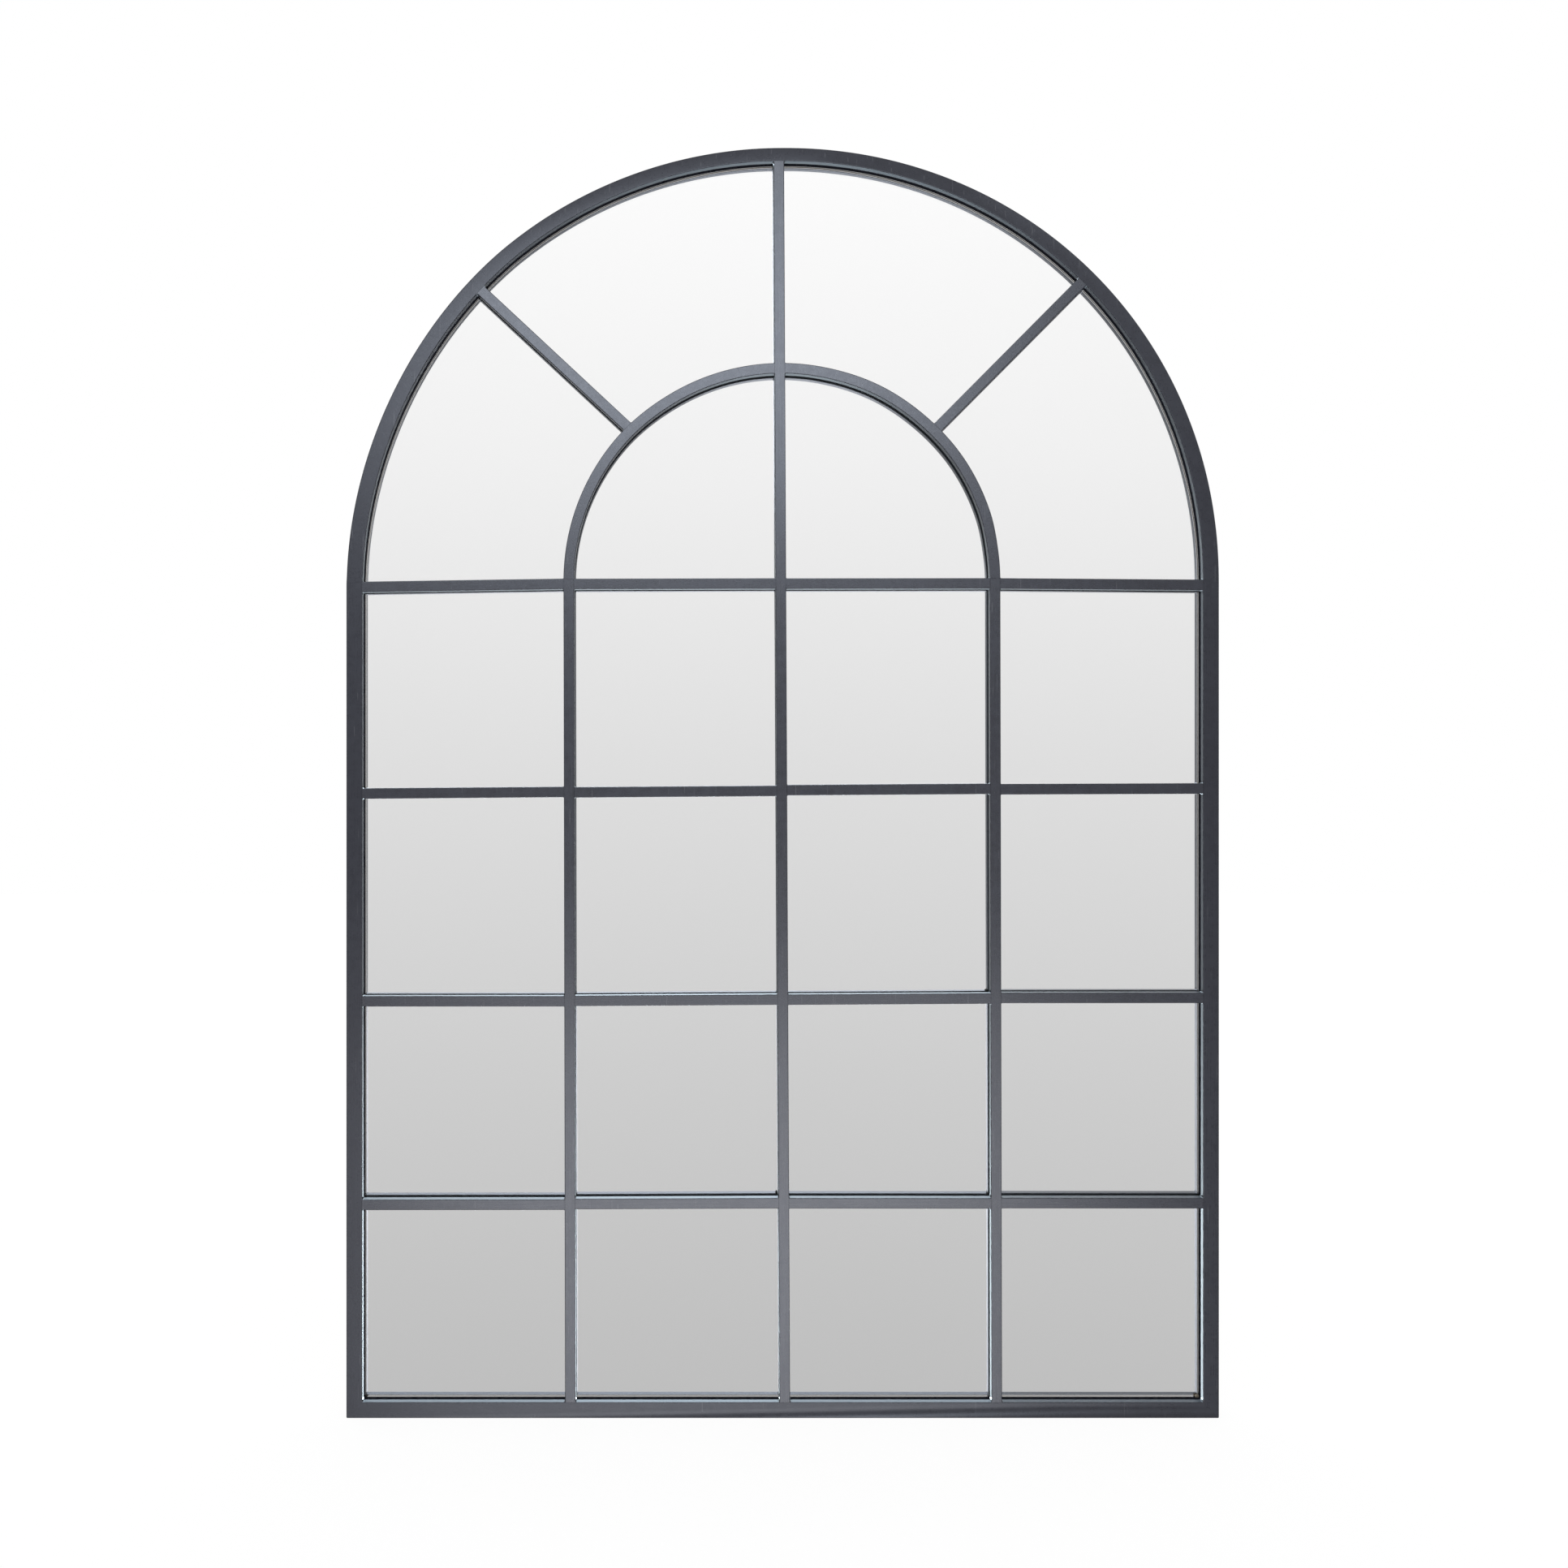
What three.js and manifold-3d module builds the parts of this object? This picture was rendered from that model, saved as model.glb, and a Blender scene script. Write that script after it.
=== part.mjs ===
// Arched window mirror for a wall. A welded frame of square-edged steel tube and a flush grille of
// thinner tube stand in front of one sheet of mirror glass, which a backing board and screwed clips hold
// from behind. Two D-ring hangers on the stiles carry it, and four rubber bumpers keep it off the wall.
//
// Millimetres. +Z is up, the front faces -Y and +X is to the viewer's right. The origin is at the foot of
// the mirror, in the middle of its width and depth. Depths below are counted from the frame's front face.

import * as THREE from 'three';
import { mergeVertices } from 'three/addons/utils/BufferGeometryUtils.js';
import Module from 'manifold-3d';

// Outer frame
const frameWidth = 1100;
const springHeight = 1052; // top of the stiles, where the half-round arch begins
const frameFace = 20; // width of the tube, seen from the front
const crownFace = 17.3; // the same at the crown, where rolling has drawn the tube in
const frameDepth = 25;
const frameWall = 1.5;

// Grille
const barFace = 13;
const barWall = 1.2;
const rowPaneHeights = [244, 244.8, 251]; // clear heights of the lower panes, from the bottom row up
const rowClimbs = [3.1, 5.3, 5.7, 2]; // how far each row rises to the right, in mm per metre
const mullionLeans = [1.2, 4.8, 3.1]; // how far each mullion leans to the left, in mm per metre of height
const innerArchStilt = 4; // height of the inner arch's centre over the springing line
const spokeAngles = [
  { name: 'left_spoke', foot: 134.6, head: 135.8 },
  { name: 'right_spoke', foot: 45.2, head: 45.2 },
];
const weldSeam = 0.3; // room between two welded tubes

// Glazing
const glassThickness = 4;
const glassSeat = 0.3; // between the grille's back and the glass
const sealWidth = 2.4;
const sealClearance = 0.3;
const boardThickness = 5;
const boardClearance = 1;
const boardRecess = 0.7; // from the frame's back down to the board's back

// Clips that hold the backing board, each with one pan-head screw into the frame tube
const clipThickness = 1.2;
const clipWidth = 12;
const clipReach = 12; // over the board
const clipFoot = 14; // over the frame tube
const clipLowHeight = 330;
const clipHighDrop = 352; // below the springing line
const clipRailOffset = 300;
const clipArchAngle = 60; // above the horizontal, on each side
const screwShank = 3.5;
const screwLength = 9;
const screwHead = 7;
const screwHeadHeight = 2;
const screwHeadTop = 0.75; // its flat top's share of the head's width
const screwClearance = 0.3;

// D-ring hangers
const hangerDrop = 87; // from the springing line down to the ring's axis
const ringWire = 3;
const ringInnerWidth = 14;
const ringCorner = 2.2;
const ringSide = 8; // from the axis down to where the ring's round end begins
const strapSheet = 1.2;
const strapWidth = 12;
const strapLength = 50;
const strapScrewDrops = [25, 42]; // below the ring's axis
const knuckleClearance = 0.4;
const ringSeat = 0.3; // between the hanging ring and the strap

// Rubber bumpers
const bumperDiameter = 13;
const bumperHeight = 7;
const bumperCrown = 2; // height of the rounded rim
const bumperInset = 34; // from the frame's outer corner along the bottom rail
const bumperArchAngle = 38; // above the horizontal, on each side

// Facets
const archSteps = 72;
const innerArchSteps = 22;
const roundSteps = 12;
const rimSteps = 3;
const wireSides = 8;
const overshoot = 2; // how far a cutting solid runs past the faces that it opens
const mergeTolerance = 1e-4;

const openingHalf = frameWidth / 2 - frameFace;
const tubeMiddle = openingHalf + frameFace / 2; // across a stile
const archLift = frameFace - crownFace;
const totalDepth = frameDepth + bumperHeight;
const boardBack = frameDepth - boardRecess;
const glassBack = boardBack - boardThickness;
const glassFront = glassBack - glassThickness;
const barDepth = glassFront - glassSeat;
const halfBar = barFace / 2;

const finishes = {
  paint: { color: 0x43454b, roughness: 0.5, metalness: 0.35 },
  silver: { color: 0xdfe2e3, roughness: 0.03, metalness: 1 },
  seal: { color: 0x17181a, roughness: 0.7, metalness: 0 },
  board: { color: 0x7b5f45, roughness: 0.85, metalness: 0 },
  zinc: { color: 0xb6b8b7, roughness: 0.35, metalness: 1 },
  rubber: { color: 0x2a2a2b, roughness: 0.9, metalness: 0 },
};

const part = new THREE.Group();
part.name = 'arched_window_mirror';
part.position.y = -totalDepth / 2;

const wasm = await Module();
wasm.setup();

// ---------------------------------------------------------------- helpers

const vec = (x, y) => new THREE.Vector2(x, y);

function add(name, finish, geometry, place = {}) {
  const mesh = new THREE.Mesh(geometry, new THREE.MeshStandardMaterial(finishes[finish]));
  mesh.name = name;
  mesh.position.set(place.x ?? 0, place.y ?? 0, place.z ?? 0);
  mesh.rotation.y = place.turn ?? 0;
  part.add(mesh);
}

function toSolid(geometry) {
  const bare = geometry.clone();
  bare.deleteAttribute('normal');
  bare.deleteAttribute('uv');
  const merged = mergeVertices(bare, mergeTolerance);
  return new wasm.Manifold(
    new wasm.Mesh({
      numProp: 3,
      vertProperties: Float32Array.from(merged.attributes.position.array),
      triVerts: Uint32Array.from(merged.index.array),
    }),
  );
}

function cut(blank, tools) {
  const solid = tools.reduce((rest, tool) => rest.subtract(toSolid(tool)), toSolid(blank));
  const { vertProperties, triVerts } = solid.getMesh();
  const geometry = new THREE.BufferGeometry();
  geometry.setAttribute('position', new THREE.BufferAttribute(vertProperties, 3));
  geometry.setIndex(new THREE.BufferAttribute(triVerts, 1));
  geometry.computeVertexNormals();
  return geometry;
}

// A prism whose outline is drawn in the front view, as (x, z), between two depths.
function prism(outline, front, back) {
  const geometry = new THREE.ExtrudeGeometry(new THREE.Shape(outline), {
    depth: back - front,
    bevelEnabled: false,
  });
  return geometry.rotateX(Math.PI / 2).translate(0, back, 0);
}

// A solid turned about an axis that runs front to back through (x, z). Its profile is (radius, depth), from
// the front to the back.
function turned(profile, x, z, steps = roundSteps) {
  const points = profile.map(([radius, depth]) => vec(radius, depth));
  return new THREE.LatheGeometry(points, steps).rotateY(Math.PI / steps).translate(x, 0, z);
}

function arc(centreX, centreZ, radius, from, to, steps) {
  return Array.from({ length: steps + 1 }, (_, i) => {
    const angle = from + ((to - from) * i) / steps;
    return vec(centreX + radius * Math.cos(angle), centreZ + radius * Math.sin(angle));
  });
}

const radians = (degrees) => (degrees * Math.PI) / 180;

// ---------------------------------------------------------------- frame

// The frame's opening, drawn in by an inset all round, anticlockwise from the lower left corner.
function openingOutline(inset) {
  const half = openingHalf - inset;
  const bottom = frameFace + inset;
  return [
    vec(-half, bottom),
    vec(half, bottom),
    ...arc(0, springHeight + archLift, half, 0, Math.PI, archSteps),
  ];
}

// The arch between its two round edges, from a foot at or below the springing line.
function archOutline(outerRadius, innerHalf, foot) {
  const points = [
    vec(outerRadius, foot),
    ...arc(0, springHeight, outerRadius, 0, Math.PI, archSteps),
    vec(-outerRadius, foot),
    vec(-innerHalf, foot),
    ...arc(0, springHeight + archLift, innerHalf, Math.PI, 0, archSteps),
    vec(innerHalf, foot),
  ];
  return points.filter((point, i) => point.distanceTo(points.at(i - 1)) > mergeTolerance);
}

// A point on the middle of the arch's face, as wide as the face is at that angle.
function archSpot(angle) {
  const inner = openingHalf + archLift * Math.sin(angle);
  const middle = (inner + frameWidth / 2) / 2;
  return { x: middle * Math.cos(angle), z: springHeight + middle * Math.sin(angle) };
}

// Screws sit on the middle of the frame's face. A clip's inward angle points from there into the opening.
const hangerHeight = springHeight - hangerDrop;
const clipAngles = [radians(clipArchAngle), radians(180 - clipArchAngle)];
const clipSpots = [
  ...[clipLowHeight, springHeight - clipHighDrop].flatMap((z) => [
    { x: -tubeMiddle, z, inward: 0 },
    { x: tubeMiddle, z, inward: Math.PI },
  ]),
  ...[-clipRailOffset, clipRailOffset].map((x) => ({ x, z: frameFace / 2, inward: Math.PI / 2 })),
  ...clipAngles.map((angle) => ({ ...archSpot(angle), inward: angle + Math.PI })),
];
const strapSpots = [-tubeMiddle, tubeMiddle].flatMap((x) =>
  strapScrewDrops.map((drop) => ({ x, z: hangerHeight - drop })),
);
const screwSpots = [...clipSpots, ...strapSpots];

// A cutting pin for a screw's hole at (x, z), between two depths.
function screwHole(x, z, front, back) {
  const radius = screwShank / 2 + screwClearance;
  return turned([[0, front], [radius, front], [radius, back], [0, back]], x, z);
}

// Holes for screws through the frame tube's rear wall.
function screwHoles(spots) {
  const front = frameDepth - frameWall - overshoot;
  return spots.map(({ x, z }) => screwHole(x, z, front, frameDepth + overshoot));
}

function buildFrame() {
  const seamSetback = weldSeam / Math.SQRT2;
  const half = frameWidth / 2;
  const cavityFront = frameWall;
  const cavityBack = frameDepth - frameWall;

  const arch = prism(archOutline(half, openingHalf, springHeight), 0, frameDepth);
  const archBore = archOutline(half - frameWall, openingHalf + frameWall, springHeight - overshoot);
  const archHoles = screwHoles(screwSpots.filter(({ z }) => z > springHeight));
  add('arch_tube', 'paint', cut(arch, [prism(archBore, cavityFront, cavityBack), ...archHoles]));

  for (const [name, side] of [['left_stile', -1], ['right_stile', 1]]) {
    const outer = side * half;
    const inner = side * openingHalf;
    const wall = side * frameWall;
    const outline = [
      vec(outer, seamSetback),
      vec(inner, frameFace + seamSetback),
      vec(inner, springHeight),
      vec(outer, springHeight),
    ];
    const bore = [
      vec(outer - wall, -overshoot),
      vec(inner + wall, -overshoot),
      vec(inner + wall, springHeight + overshoot),
      vec(outer - wall, springHeight + overshoot),
    ];
    const holes = screwHoles(
      screwSpots.filter(({ x, z }) => x * side === tubeMiddle && z > frameFace && z < springHeight),
    );
    add(name, 'paint', cut(prism(outline, 0, frameDepth), [prism(bore, cavityFront, cavityBack), ...holes]));
  }

  const railOutline = [
    vec(seamSetback - half, 0),
    vec(half - seamSetback, 0),
    vec(openingHalf - seamSetback, frameFace),
    vec(seamSetback - openingHalf, frameFace),
  ];
  const railBore = [
    vec(-half - overshoot, frameWall),
    vec(half + overshoot, frameWall),
    vec(half + overshoot, frameFace - frameWall),
    vec(-half - overshoot, frameFace - frameWall),
  ];
  const railHoles = screwHoles(screwSpots.filter(({ z }) => z < frameFace));
  const railCuts = [prism(railBore, cavityFront, cavityBack), ...railHoles];
  add('bottom_rail', 'paint', cut(prism(railOutline, 0, frameDepth), railCuts));
}

// ---------------------------------------------------------------- grille

const rowNames = ['row_1', 'row_2', 'row_3', 'spring_row'];
const columnCount = mullionLeans.length + 1;
const columnPitch = (2 * openingHalf + barFace) / columnCount;
const leanPivot = springHeight / 2;

const rowHeights = rowPaneHeights.reduce(
  (heights, pane) => [...heights, (heights.at(-1) ?? frameFace - halfBar) + pane + barFace],
  [],
);
rowHeights.push(springHeight);

const rowAt = (row, x) => rowHeights[row] + (rowClimbs[row] * x) / 1000;

function mullionAt(mullion, z) {
  const upright = (mullion + 1) * columnPitch - openingHalf - halfBar;
  return upright - (mullionLeans[mullion] * (z - leanPivot)) / 1000;
}

// A length of grille tube between two ends. Each end is the pair of its corners, on sides a and b.
function barTube(start, end) {
  const along = end.a.clone().sub(start.a).normalize().multiplyScalar(overshoot);
  const across = start.b.clone().sub(start.a).normalize().multiplyScalar(barWall);
  const outside = [start.a, end.a, end.b, start.b];
  const bore = [
    start.a.clone().add(across).sub(along),
    end.a.clone().add(across).add(along),
    end.b.clone().sub(across).add(along),
    start.b.clone().sub(across).sub(along),
  ];
  return cut(prism(outside, 0, barDepth), [prism(bore, barWall, barDepth - barWall)]);
}

const innerArch = {
  x: (mullionAt(0, springHeight) + mullionAt(2, springHeight)) / 2,
  z: springHeight + innerArchStilt,
  radius: (mullionAt(2, springHeight) - mullionAt(0, springHeight)) / 2,
};

function buildMullions() {
  const bottom = frameFace + weldSeam;
  const top = springHeight + halfBar;
  const crown = springHeight + archLift + Math.sqrt((openingHalf - weldSeam) ** 2 - barFace ** 2);
  for (const [mullion, name, head] of [
    [0, 'left_mullion', top],
    [1, 'centre_mullion', crown],
    [2, 'right_mullion', top],
  ]) {
    const edge = (z) => {
      const middle = mullionAt(mullion, z);
      return { a: vec(middle + halfBar, z), b: vec(middle - halfBar, z) };
    };
    add(name, 'paint', barTube(edge(bottom), edge(head)));
  }
}

function buildRows() {
  // The uprights' sides that a row meets, counted from the left stile.
  const leftSide = (upright, z) =>
    upright === columnCount ? openingHalf : mullionAt(upright - 1, z) - halfBar;
  const rightSide = (upright, z) => (upright === 0 ? -openingHalf : mullionAt(upright - 1, z) + halfBar);
  rowNames.forEach((rowName, row) => {
    for (let column = 0; column < columnCount; column += 1) {
      const end = (edge) => {
        const z = rowAt(row, edge(rowHeights[row]));
        return { a: vec(edge(z - halfBar), z - halfBar), b: vec(edge(z + halfBar), z + halfBar) };
      };
      const start = end((z) => rightSide(column, z) + weldSeam);
      const finish = end((z) => leftSide(column + 1, z) - weldSeam);
      add(`${rowName}_bar_${column + 1}`, 'paint', barTube(start, finish));
    }
  });
}

// Half of the inner arch, from the mullion below it to the side of the centre mullion.
function innerArchHalf(side) {
  const mullionTop = springHeight + halfBar + weldSeam;
  const crownX = mullionAt(1, innerArch.z + innerArch.radius) + side * (halfBar + weldSeam);
  const stretch = (inset, beyond) => {
    const radius = innerArch.radius + halfBar - inset;
    const foot = Math.asin((mullionTop - beyond - innerArch.z) / radius);
    const head = Math.acos((side * (crownX - innerArch.x) - beyond) / radius);
    return { radius, foot, head };
  };
  const curve = ({ radius, foot, head }) =>
    arc(0, innerArch.z, radius, foot, head, innerArchSteps).map(({ x, y }) =>
      vec(innerArch.x + side * x, y),
    );
  const ring = (outer, inner) => [...curve(outer), ...curve(inner).reverse()];
  const tube = prism(ring(stretch(0, 0), stretch(barFace, 0)), 0, barDepth);
  const bore = prism(
    ring(stretch(barWall, overshoot), stretch(barFace - barWall, overshoot)),
    barWall,
    barDepth - barWall,
  );
  return cut(tube, [bore]);
}

// How far along a unit ray the circle lies.
function reach(origin, direction, centre, radius) {
  const toCentre = centre.clone().sub(origin);
  const along = toCentre.dot(direction);
  return along + Math.sqrt(radius ** 2 - toCentre.lengthSq() + along ** 2);
}

const onRay = (angle, distance) =>
  vec(distance * Math.cos(angle), springHeight + distance * Math.sin(angle));

function spokeTube({ foot, head }) {
  const openingCentre = vec(0, springHeight + archLift);
  const archCentre = vec(innerArch.x, innerArch.z);
  const start = onRay(radians(foot), innerArch.radius);
  const direction = onRay(radians(head), openingHalf).sub(start).normalize();
  const side = vec(-direction.y, direction.x).multiplyScalar(halfBar);
  const footRadius = innerArch.radius + halfBar + weldSeam;
  const headRadius = Math.hypot(openingHalf - weldSeam, halfBar) - weldSeam;
  const footReach = reach(start, direction, archCentre, footRadius);
  const headReach = reach(start, direction, openingCentre, headRadius);
  const end = (distance) => {
    const middle = start.clone().addScaledVector(direction, distance);
    return { a: middle.clone().sub(side), b: middle.clone().add(side) };
  };
  return barTube(end(footReach), end(headReach));
}

function buildGrille() {
  buildMullions();
  buildRows();
  add('inner_arch_left', 'paint', innerArchHalf(-1));
  add('inner_arch_right', 'paint', innerArchHalf(1));
  for (const spoke of spokeAngles) add(spoke.name, 'paint', spokeTube(spoke));
}

// ---------------------------------------------------------------- glazing

function buildGlazing() {
  const sealOuter = openingOutline(sealClearance);
  const sealInner = openingOutline(sealClearance + sealWidth);
  const ring = cut(prism(sealOuter, glassFront, glassBack), [
    prism(sealInner, glassFront - overshoot, glassBack + overshoot),
  ]);
  add('edge_seal', 'seal', ring);
  add('mirror_glass', 'silver', prism(openingOutline(2 * sealClearance + sealWidth), glassFront, glassBack));
  add('backing_board', 'board', prism(openingOutline(boardClearance), glassBack, boardBack));
}

// ---------------------------------------------------------------- clips and screws

// A pan-head screw along the depth, its head's underside at the origin.
function panScrew() {
  const shank = screwShank / 2;
  const head = screwHead / 2;
  const profile = [
    [0, -screwLength],
    [shank, shank - screwLength],
    [shank, 0],
    [head, 0],
    [head, screwHeadHeight / 2],
    [head * screwHeadTop, screwHeadHeight],
    [0, screwHeadHeight],
  ];
  return turned(profile, 0, 0);
}

// A strip of sheet that steps down from the tube's back face to the board. Its length runs along +X from
// the screw, its profile is drawn as (x, depth) and its width runs along Z.
function clip() {
  const edge = frameFace / 2;
  const heel = edge - clipFoot;
  const toe = edge + clipReach;
  const bend = edge + boardClearance;
  const profile = [
    vec(heel, 0),
    vec(edge, 0),
    vec(bend + boardClearance, -boardRecess),
    vec(toe, -boardRecess),
    vec(toe, clipThickness - boardRecess),
    vec(bend + boardClearance, clipThickness - boardRecess),
    vec(edge, clipThickness),
    vec(heel, clipThickness),
  ];
  const extent = { depth: clipWidth, bevelEnabled: false };
  const blank = new THREE.ExtrudeGeometry(new THREE.Shape(profile), extent);
  return cut(blank.translate(0, 0, -clipWidth / 2), [screwHole(0, 0, -overshoot, overshoot)]);
}

function buildClips() {
  clipSpots.forEach(({ x, z, inward }, index) => {
    const turn = -inward;
    add(`clip_${index + 1}`, 'zinc', clip(), { x, y: frameDepth, z, turn });
    add(`clip_screw_${index + 1}`, 'zinc', panScrew(), { x, y: frameDepth + clipThickness, z, turn });
  });
}

// ---------------------------------------------------------------- hangers

const knuckleBore = ringWire / 2 + knuckleClearance;
const knuckleRadius = knuckleBore + strapSheet;
const strapFold = 2 * strapSheet; // the strip is folded round the ring's bar and back on itself
const strapFace = strapFold - knuckleRadius; // its outer face, counted from the ring's axis

// The folded strap, hanging from the ring's axis at the origin, with the tube's back face one knuckle radius
// in front. Its outline is drawn as (depth, z) and its width runs along X.
function hangerStrap() {
  const knuckle = arc(0, 0, knuckleRadius, Math.PI, -Math.acos(strapFace / knuckleRadius), roundSteps);
  const tail = [vec(strapFace, -strapLength), vec(-knuckleRadius, -strapLength)];
  const shape = new THREE.Shape([...knuckle, ...tail]);
  const eyeSteps = 2 * roundSteps;
  const eye = arc(0, 0, knuckleBore / Math.cos(Math.PI / eyeSteps), 0, 2 * Math.PI, eyeSteps);
  shape.holes.push(new THREE.Path(eye.slice(0, -1)));
  const strip = new THREE.ExtrudeGeometry(shape, { depth: strapWidth, bevelEnabled: false });
  strip.translate(0, 0, -strapWidth / 2).rotateX(Math.PI / 2).rotateZ(Math.PI / 2);
  const front = -knuckleRadius - overshoot;
  return cut(strip, strapScrewDrops.map((drop) => screwHole(0, -drop, front, strapFace + overshoot)));
}

// A round wire along a closed path in the front view, with mitred corners.
function wireLoop(path, wire) {
  const positions = [];
  const faces = [];
  path.forEach((point, i) => {
    const arriving = point.clone().sub(path.at(i - 1)).normalize();
    const leaving = path[(i + 1) % path.length].clone().sub(point).normalize();
    const tangent = arriving.clone().add(leaving).normalize();
    const mitre = 1 / tangent.dot(leaving);
    for (let k = 0; k < wireSides; k += 1) {
      const turn = ((k + 0.5) / wireSides) * 2 * Math.PI;
      const sideways = (wire / 2) * Math.cos(turn) * mitre;
      const depth = (wire / 2) * Math.sin(turn);
      positions.push(point.x - tangent.y * sideways, depth, point.y + tangent.x * sideways);
      const next = (k + 1) % wireSides;
      const here = i * wireSides;
      const ahead = ((i + 1) % path.length) * wireSides;
      faces.push(here + k, ahead + k, here + next, here + next, ahead + k, ahead + next);
    }
  });
  const geometry = new THREE.BufferGeometry();
  geometry.setAttribute('position', new THREE.Float32BufferAttribute(positions, 3));
  geometry.setIndex(faces);
  geometry.computeVertexNormals();
  return geometry;
}

// The D ring about its bar at the origin. It hangs down and leans on the strap's face.
function hangerRing() {
  const half = (ringInnerWidth + ringWire) / 2;
  const straight = half - ringCorner;
  const corner = (side, from, to) =>
    arc(side * straight, -ringCorner, ringCorner, from, to, roundSteps / 3);
  const path = [
    ...corner(1, Math.PI / 2, 0),
    ...arc(0, -ringSide, half, 0, -Math.PI, 2 * roundSteps),
    ...corner(-1, Math.PI, Math.PI / 2),
  ];
  const restLean = Math.asin((strapFace + ringSeat + ringWire / 2) / (ringSide + half));
  return wireLoop(path, ringWire).rotateX(restLean);
}

function buildHangers() {
  const axisDepth = frameDepth + knuckleRadius;
  for (const [side, name] of [[-1, 'left'], [1, 'right']]) {
    const x = side * tubeMiddle;
    add(`${name}_hanger_strap`, 'zinc', hangerStrap(), { x, y: axisDepth, z: hangerHeight });
    add(`${name}_hanger_ring`, 'zinc', hangerRing(), { x, y: axisDepth, z: hangerHeight });
    strapScrewDrops.forEach((drop, index) => {
      const place = { x, y: frameDepth + strapFold, z: hangerHeight - drop };
      add(`${name}_hanger_screw_${index + 1}`, 'zinc', panScrew(), place);
    });
  }
}

// ---------------------------------------------------------------- bumpers

function bumper() {
  const radius = bumperDiameter / 2;
  const rim = arc(radius - bumperCrown, bumperHeight - bumperCrown, bumperCrown, 0, Math.PI / 2, rimSteps);
  const profile = [[0, 0], [radius, 0], ...rim.map(({ x, y }) => [x, y]), [0, bumperHeight]];
  return turned(profile, 0, 0, 2 * roundSteps);
}

function buildBumpers() {
  const railX = frameWidth / 2 - bumperInset;
  const spots = [
    { name: 'lower_left_bumper', x: -railX, z: frameFace / 2 },
    { name: 'lower_right_bumper', x: railX, z: frameFace / 2 },
    { name: 'upper_left_bumper', ...archSpot(radians(180 - bumperArchAngle)) },
    { name: 'upper_right_bumper', ...archSpot(radians(bumperArchAngle)) },
  ];
  for (const { name, x, z } of spots) add(name, 'rubber', bumper(), { x, y: frameDepth, z });
}

buildFrame();
buildGrille();
buildGlazing();
buildClips();
buildHangers();
buildBumpers();

export default part;
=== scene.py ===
import cmath
import math

import bmesh
import bpy
from mathutils import Matrix, Vector


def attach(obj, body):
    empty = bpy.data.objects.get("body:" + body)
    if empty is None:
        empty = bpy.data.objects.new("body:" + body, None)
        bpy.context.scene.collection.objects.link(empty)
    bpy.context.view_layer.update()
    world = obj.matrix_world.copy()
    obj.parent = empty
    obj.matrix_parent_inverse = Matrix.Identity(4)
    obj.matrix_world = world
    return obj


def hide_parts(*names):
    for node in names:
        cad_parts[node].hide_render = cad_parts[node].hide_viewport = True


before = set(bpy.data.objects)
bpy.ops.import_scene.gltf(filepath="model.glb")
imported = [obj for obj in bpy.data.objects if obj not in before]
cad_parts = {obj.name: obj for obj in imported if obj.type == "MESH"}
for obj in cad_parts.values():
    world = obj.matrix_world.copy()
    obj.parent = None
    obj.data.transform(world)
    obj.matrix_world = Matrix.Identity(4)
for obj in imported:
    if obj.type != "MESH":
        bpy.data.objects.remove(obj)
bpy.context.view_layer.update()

# Sizes in millimetres. The frame and the fittings have the solids' sizes. The grille's bars are a little
# wider, and stand as in the photo. In the front view a point is the complex number x + z*1j, and depth
# counts from the front faces.
MM = 0.001
FRONT = -16.0  # y of the front faces
HALF = 550.0  # half the frame's width
FACE = 20.0  # width of a frame tube, seen from the front
OPENING = HALF - FACE
SPRING = 1052.0  # height of the stiles, where the arch begins
LIFT = 2.7  # how far the opening's arch is raised, since rolling has narrowed the tube at the crown
HALF_BAR = 6.65
BAR_BACK = 15.0
FRAME_BACK = 25.0

ROWS = [270.5, 528.3, 792.3, SPRING]  # heights of the rows' middles
CLIMBS = [3.1, 5.3, 5.7, 2.0]  # how far each row rises to the right, in mm per metre
PITCH = 268.25  # from mullion to mullion
SIDEWAYS = [-0.4, 0.3, 0.7]  # how far each mullion is off its even place
LEANS = [2.0, 4.8, 2.1]  # how far each mullion leans to the left, in mm per metre of height
# How far each row's four lengths sit off its line, at the two GAUGES of each.
GAUGES = (0.12, 0.88)
DROPS = [
    [(-0.2, -0.6), (0.1, 0.3), (0.1, -0.7), (-0.5, -1.3)],
    [(-0.3, -1.3), (-1.0, -0.8), (-0.9, -0.8), (-0.3, -1.3)],
    [(-2.0, -1.5), (-2.0, -1.7), (-0.8, -0.6), (-1.3, -1.7)],
    [(-2.7, 0.0), (0.1, 0.2), (0.0, -0.2), (-0.6, -2.5)],
]
ARCH_CENTRE = (SPRING + LIFT) * 1j
INNER_STILT = 4.0  # height of the inner arch's centre over the stiles
SPOKES = {"left": (134.6, 135.8), "right": (45.2, 45.2)}  # angles of foot and head

EDGE = 0.8  # rounding of the long edges
FILLET = 1.3  # paint and weld in the corners of the panes
CORNER = 1.3  # ground outer corners of the frame
CORNER_STEPS = 6
HALF_WAY = CORNER_STEPS // 2
ARCH_STEPS = 180


def dot(u, v):
    return (u.conjugate() * v).real


def unit(v):
    return v / abs(v)


# ------------ curves of the front view


class Line:
    """A straight side through a, with n pointing from the open side into the metal."""

    def __init__(self, a, n):
        self.a, self.n = a, unit(n)

    def shifted(self, by):
        return Line(self.a - self.n * by, self.n)

    def miss(self, p):
        return dot(p - self.a, self.n)

    def normal(self, p):
        return self.n

    def between(self, p, q):
        return []


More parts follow.
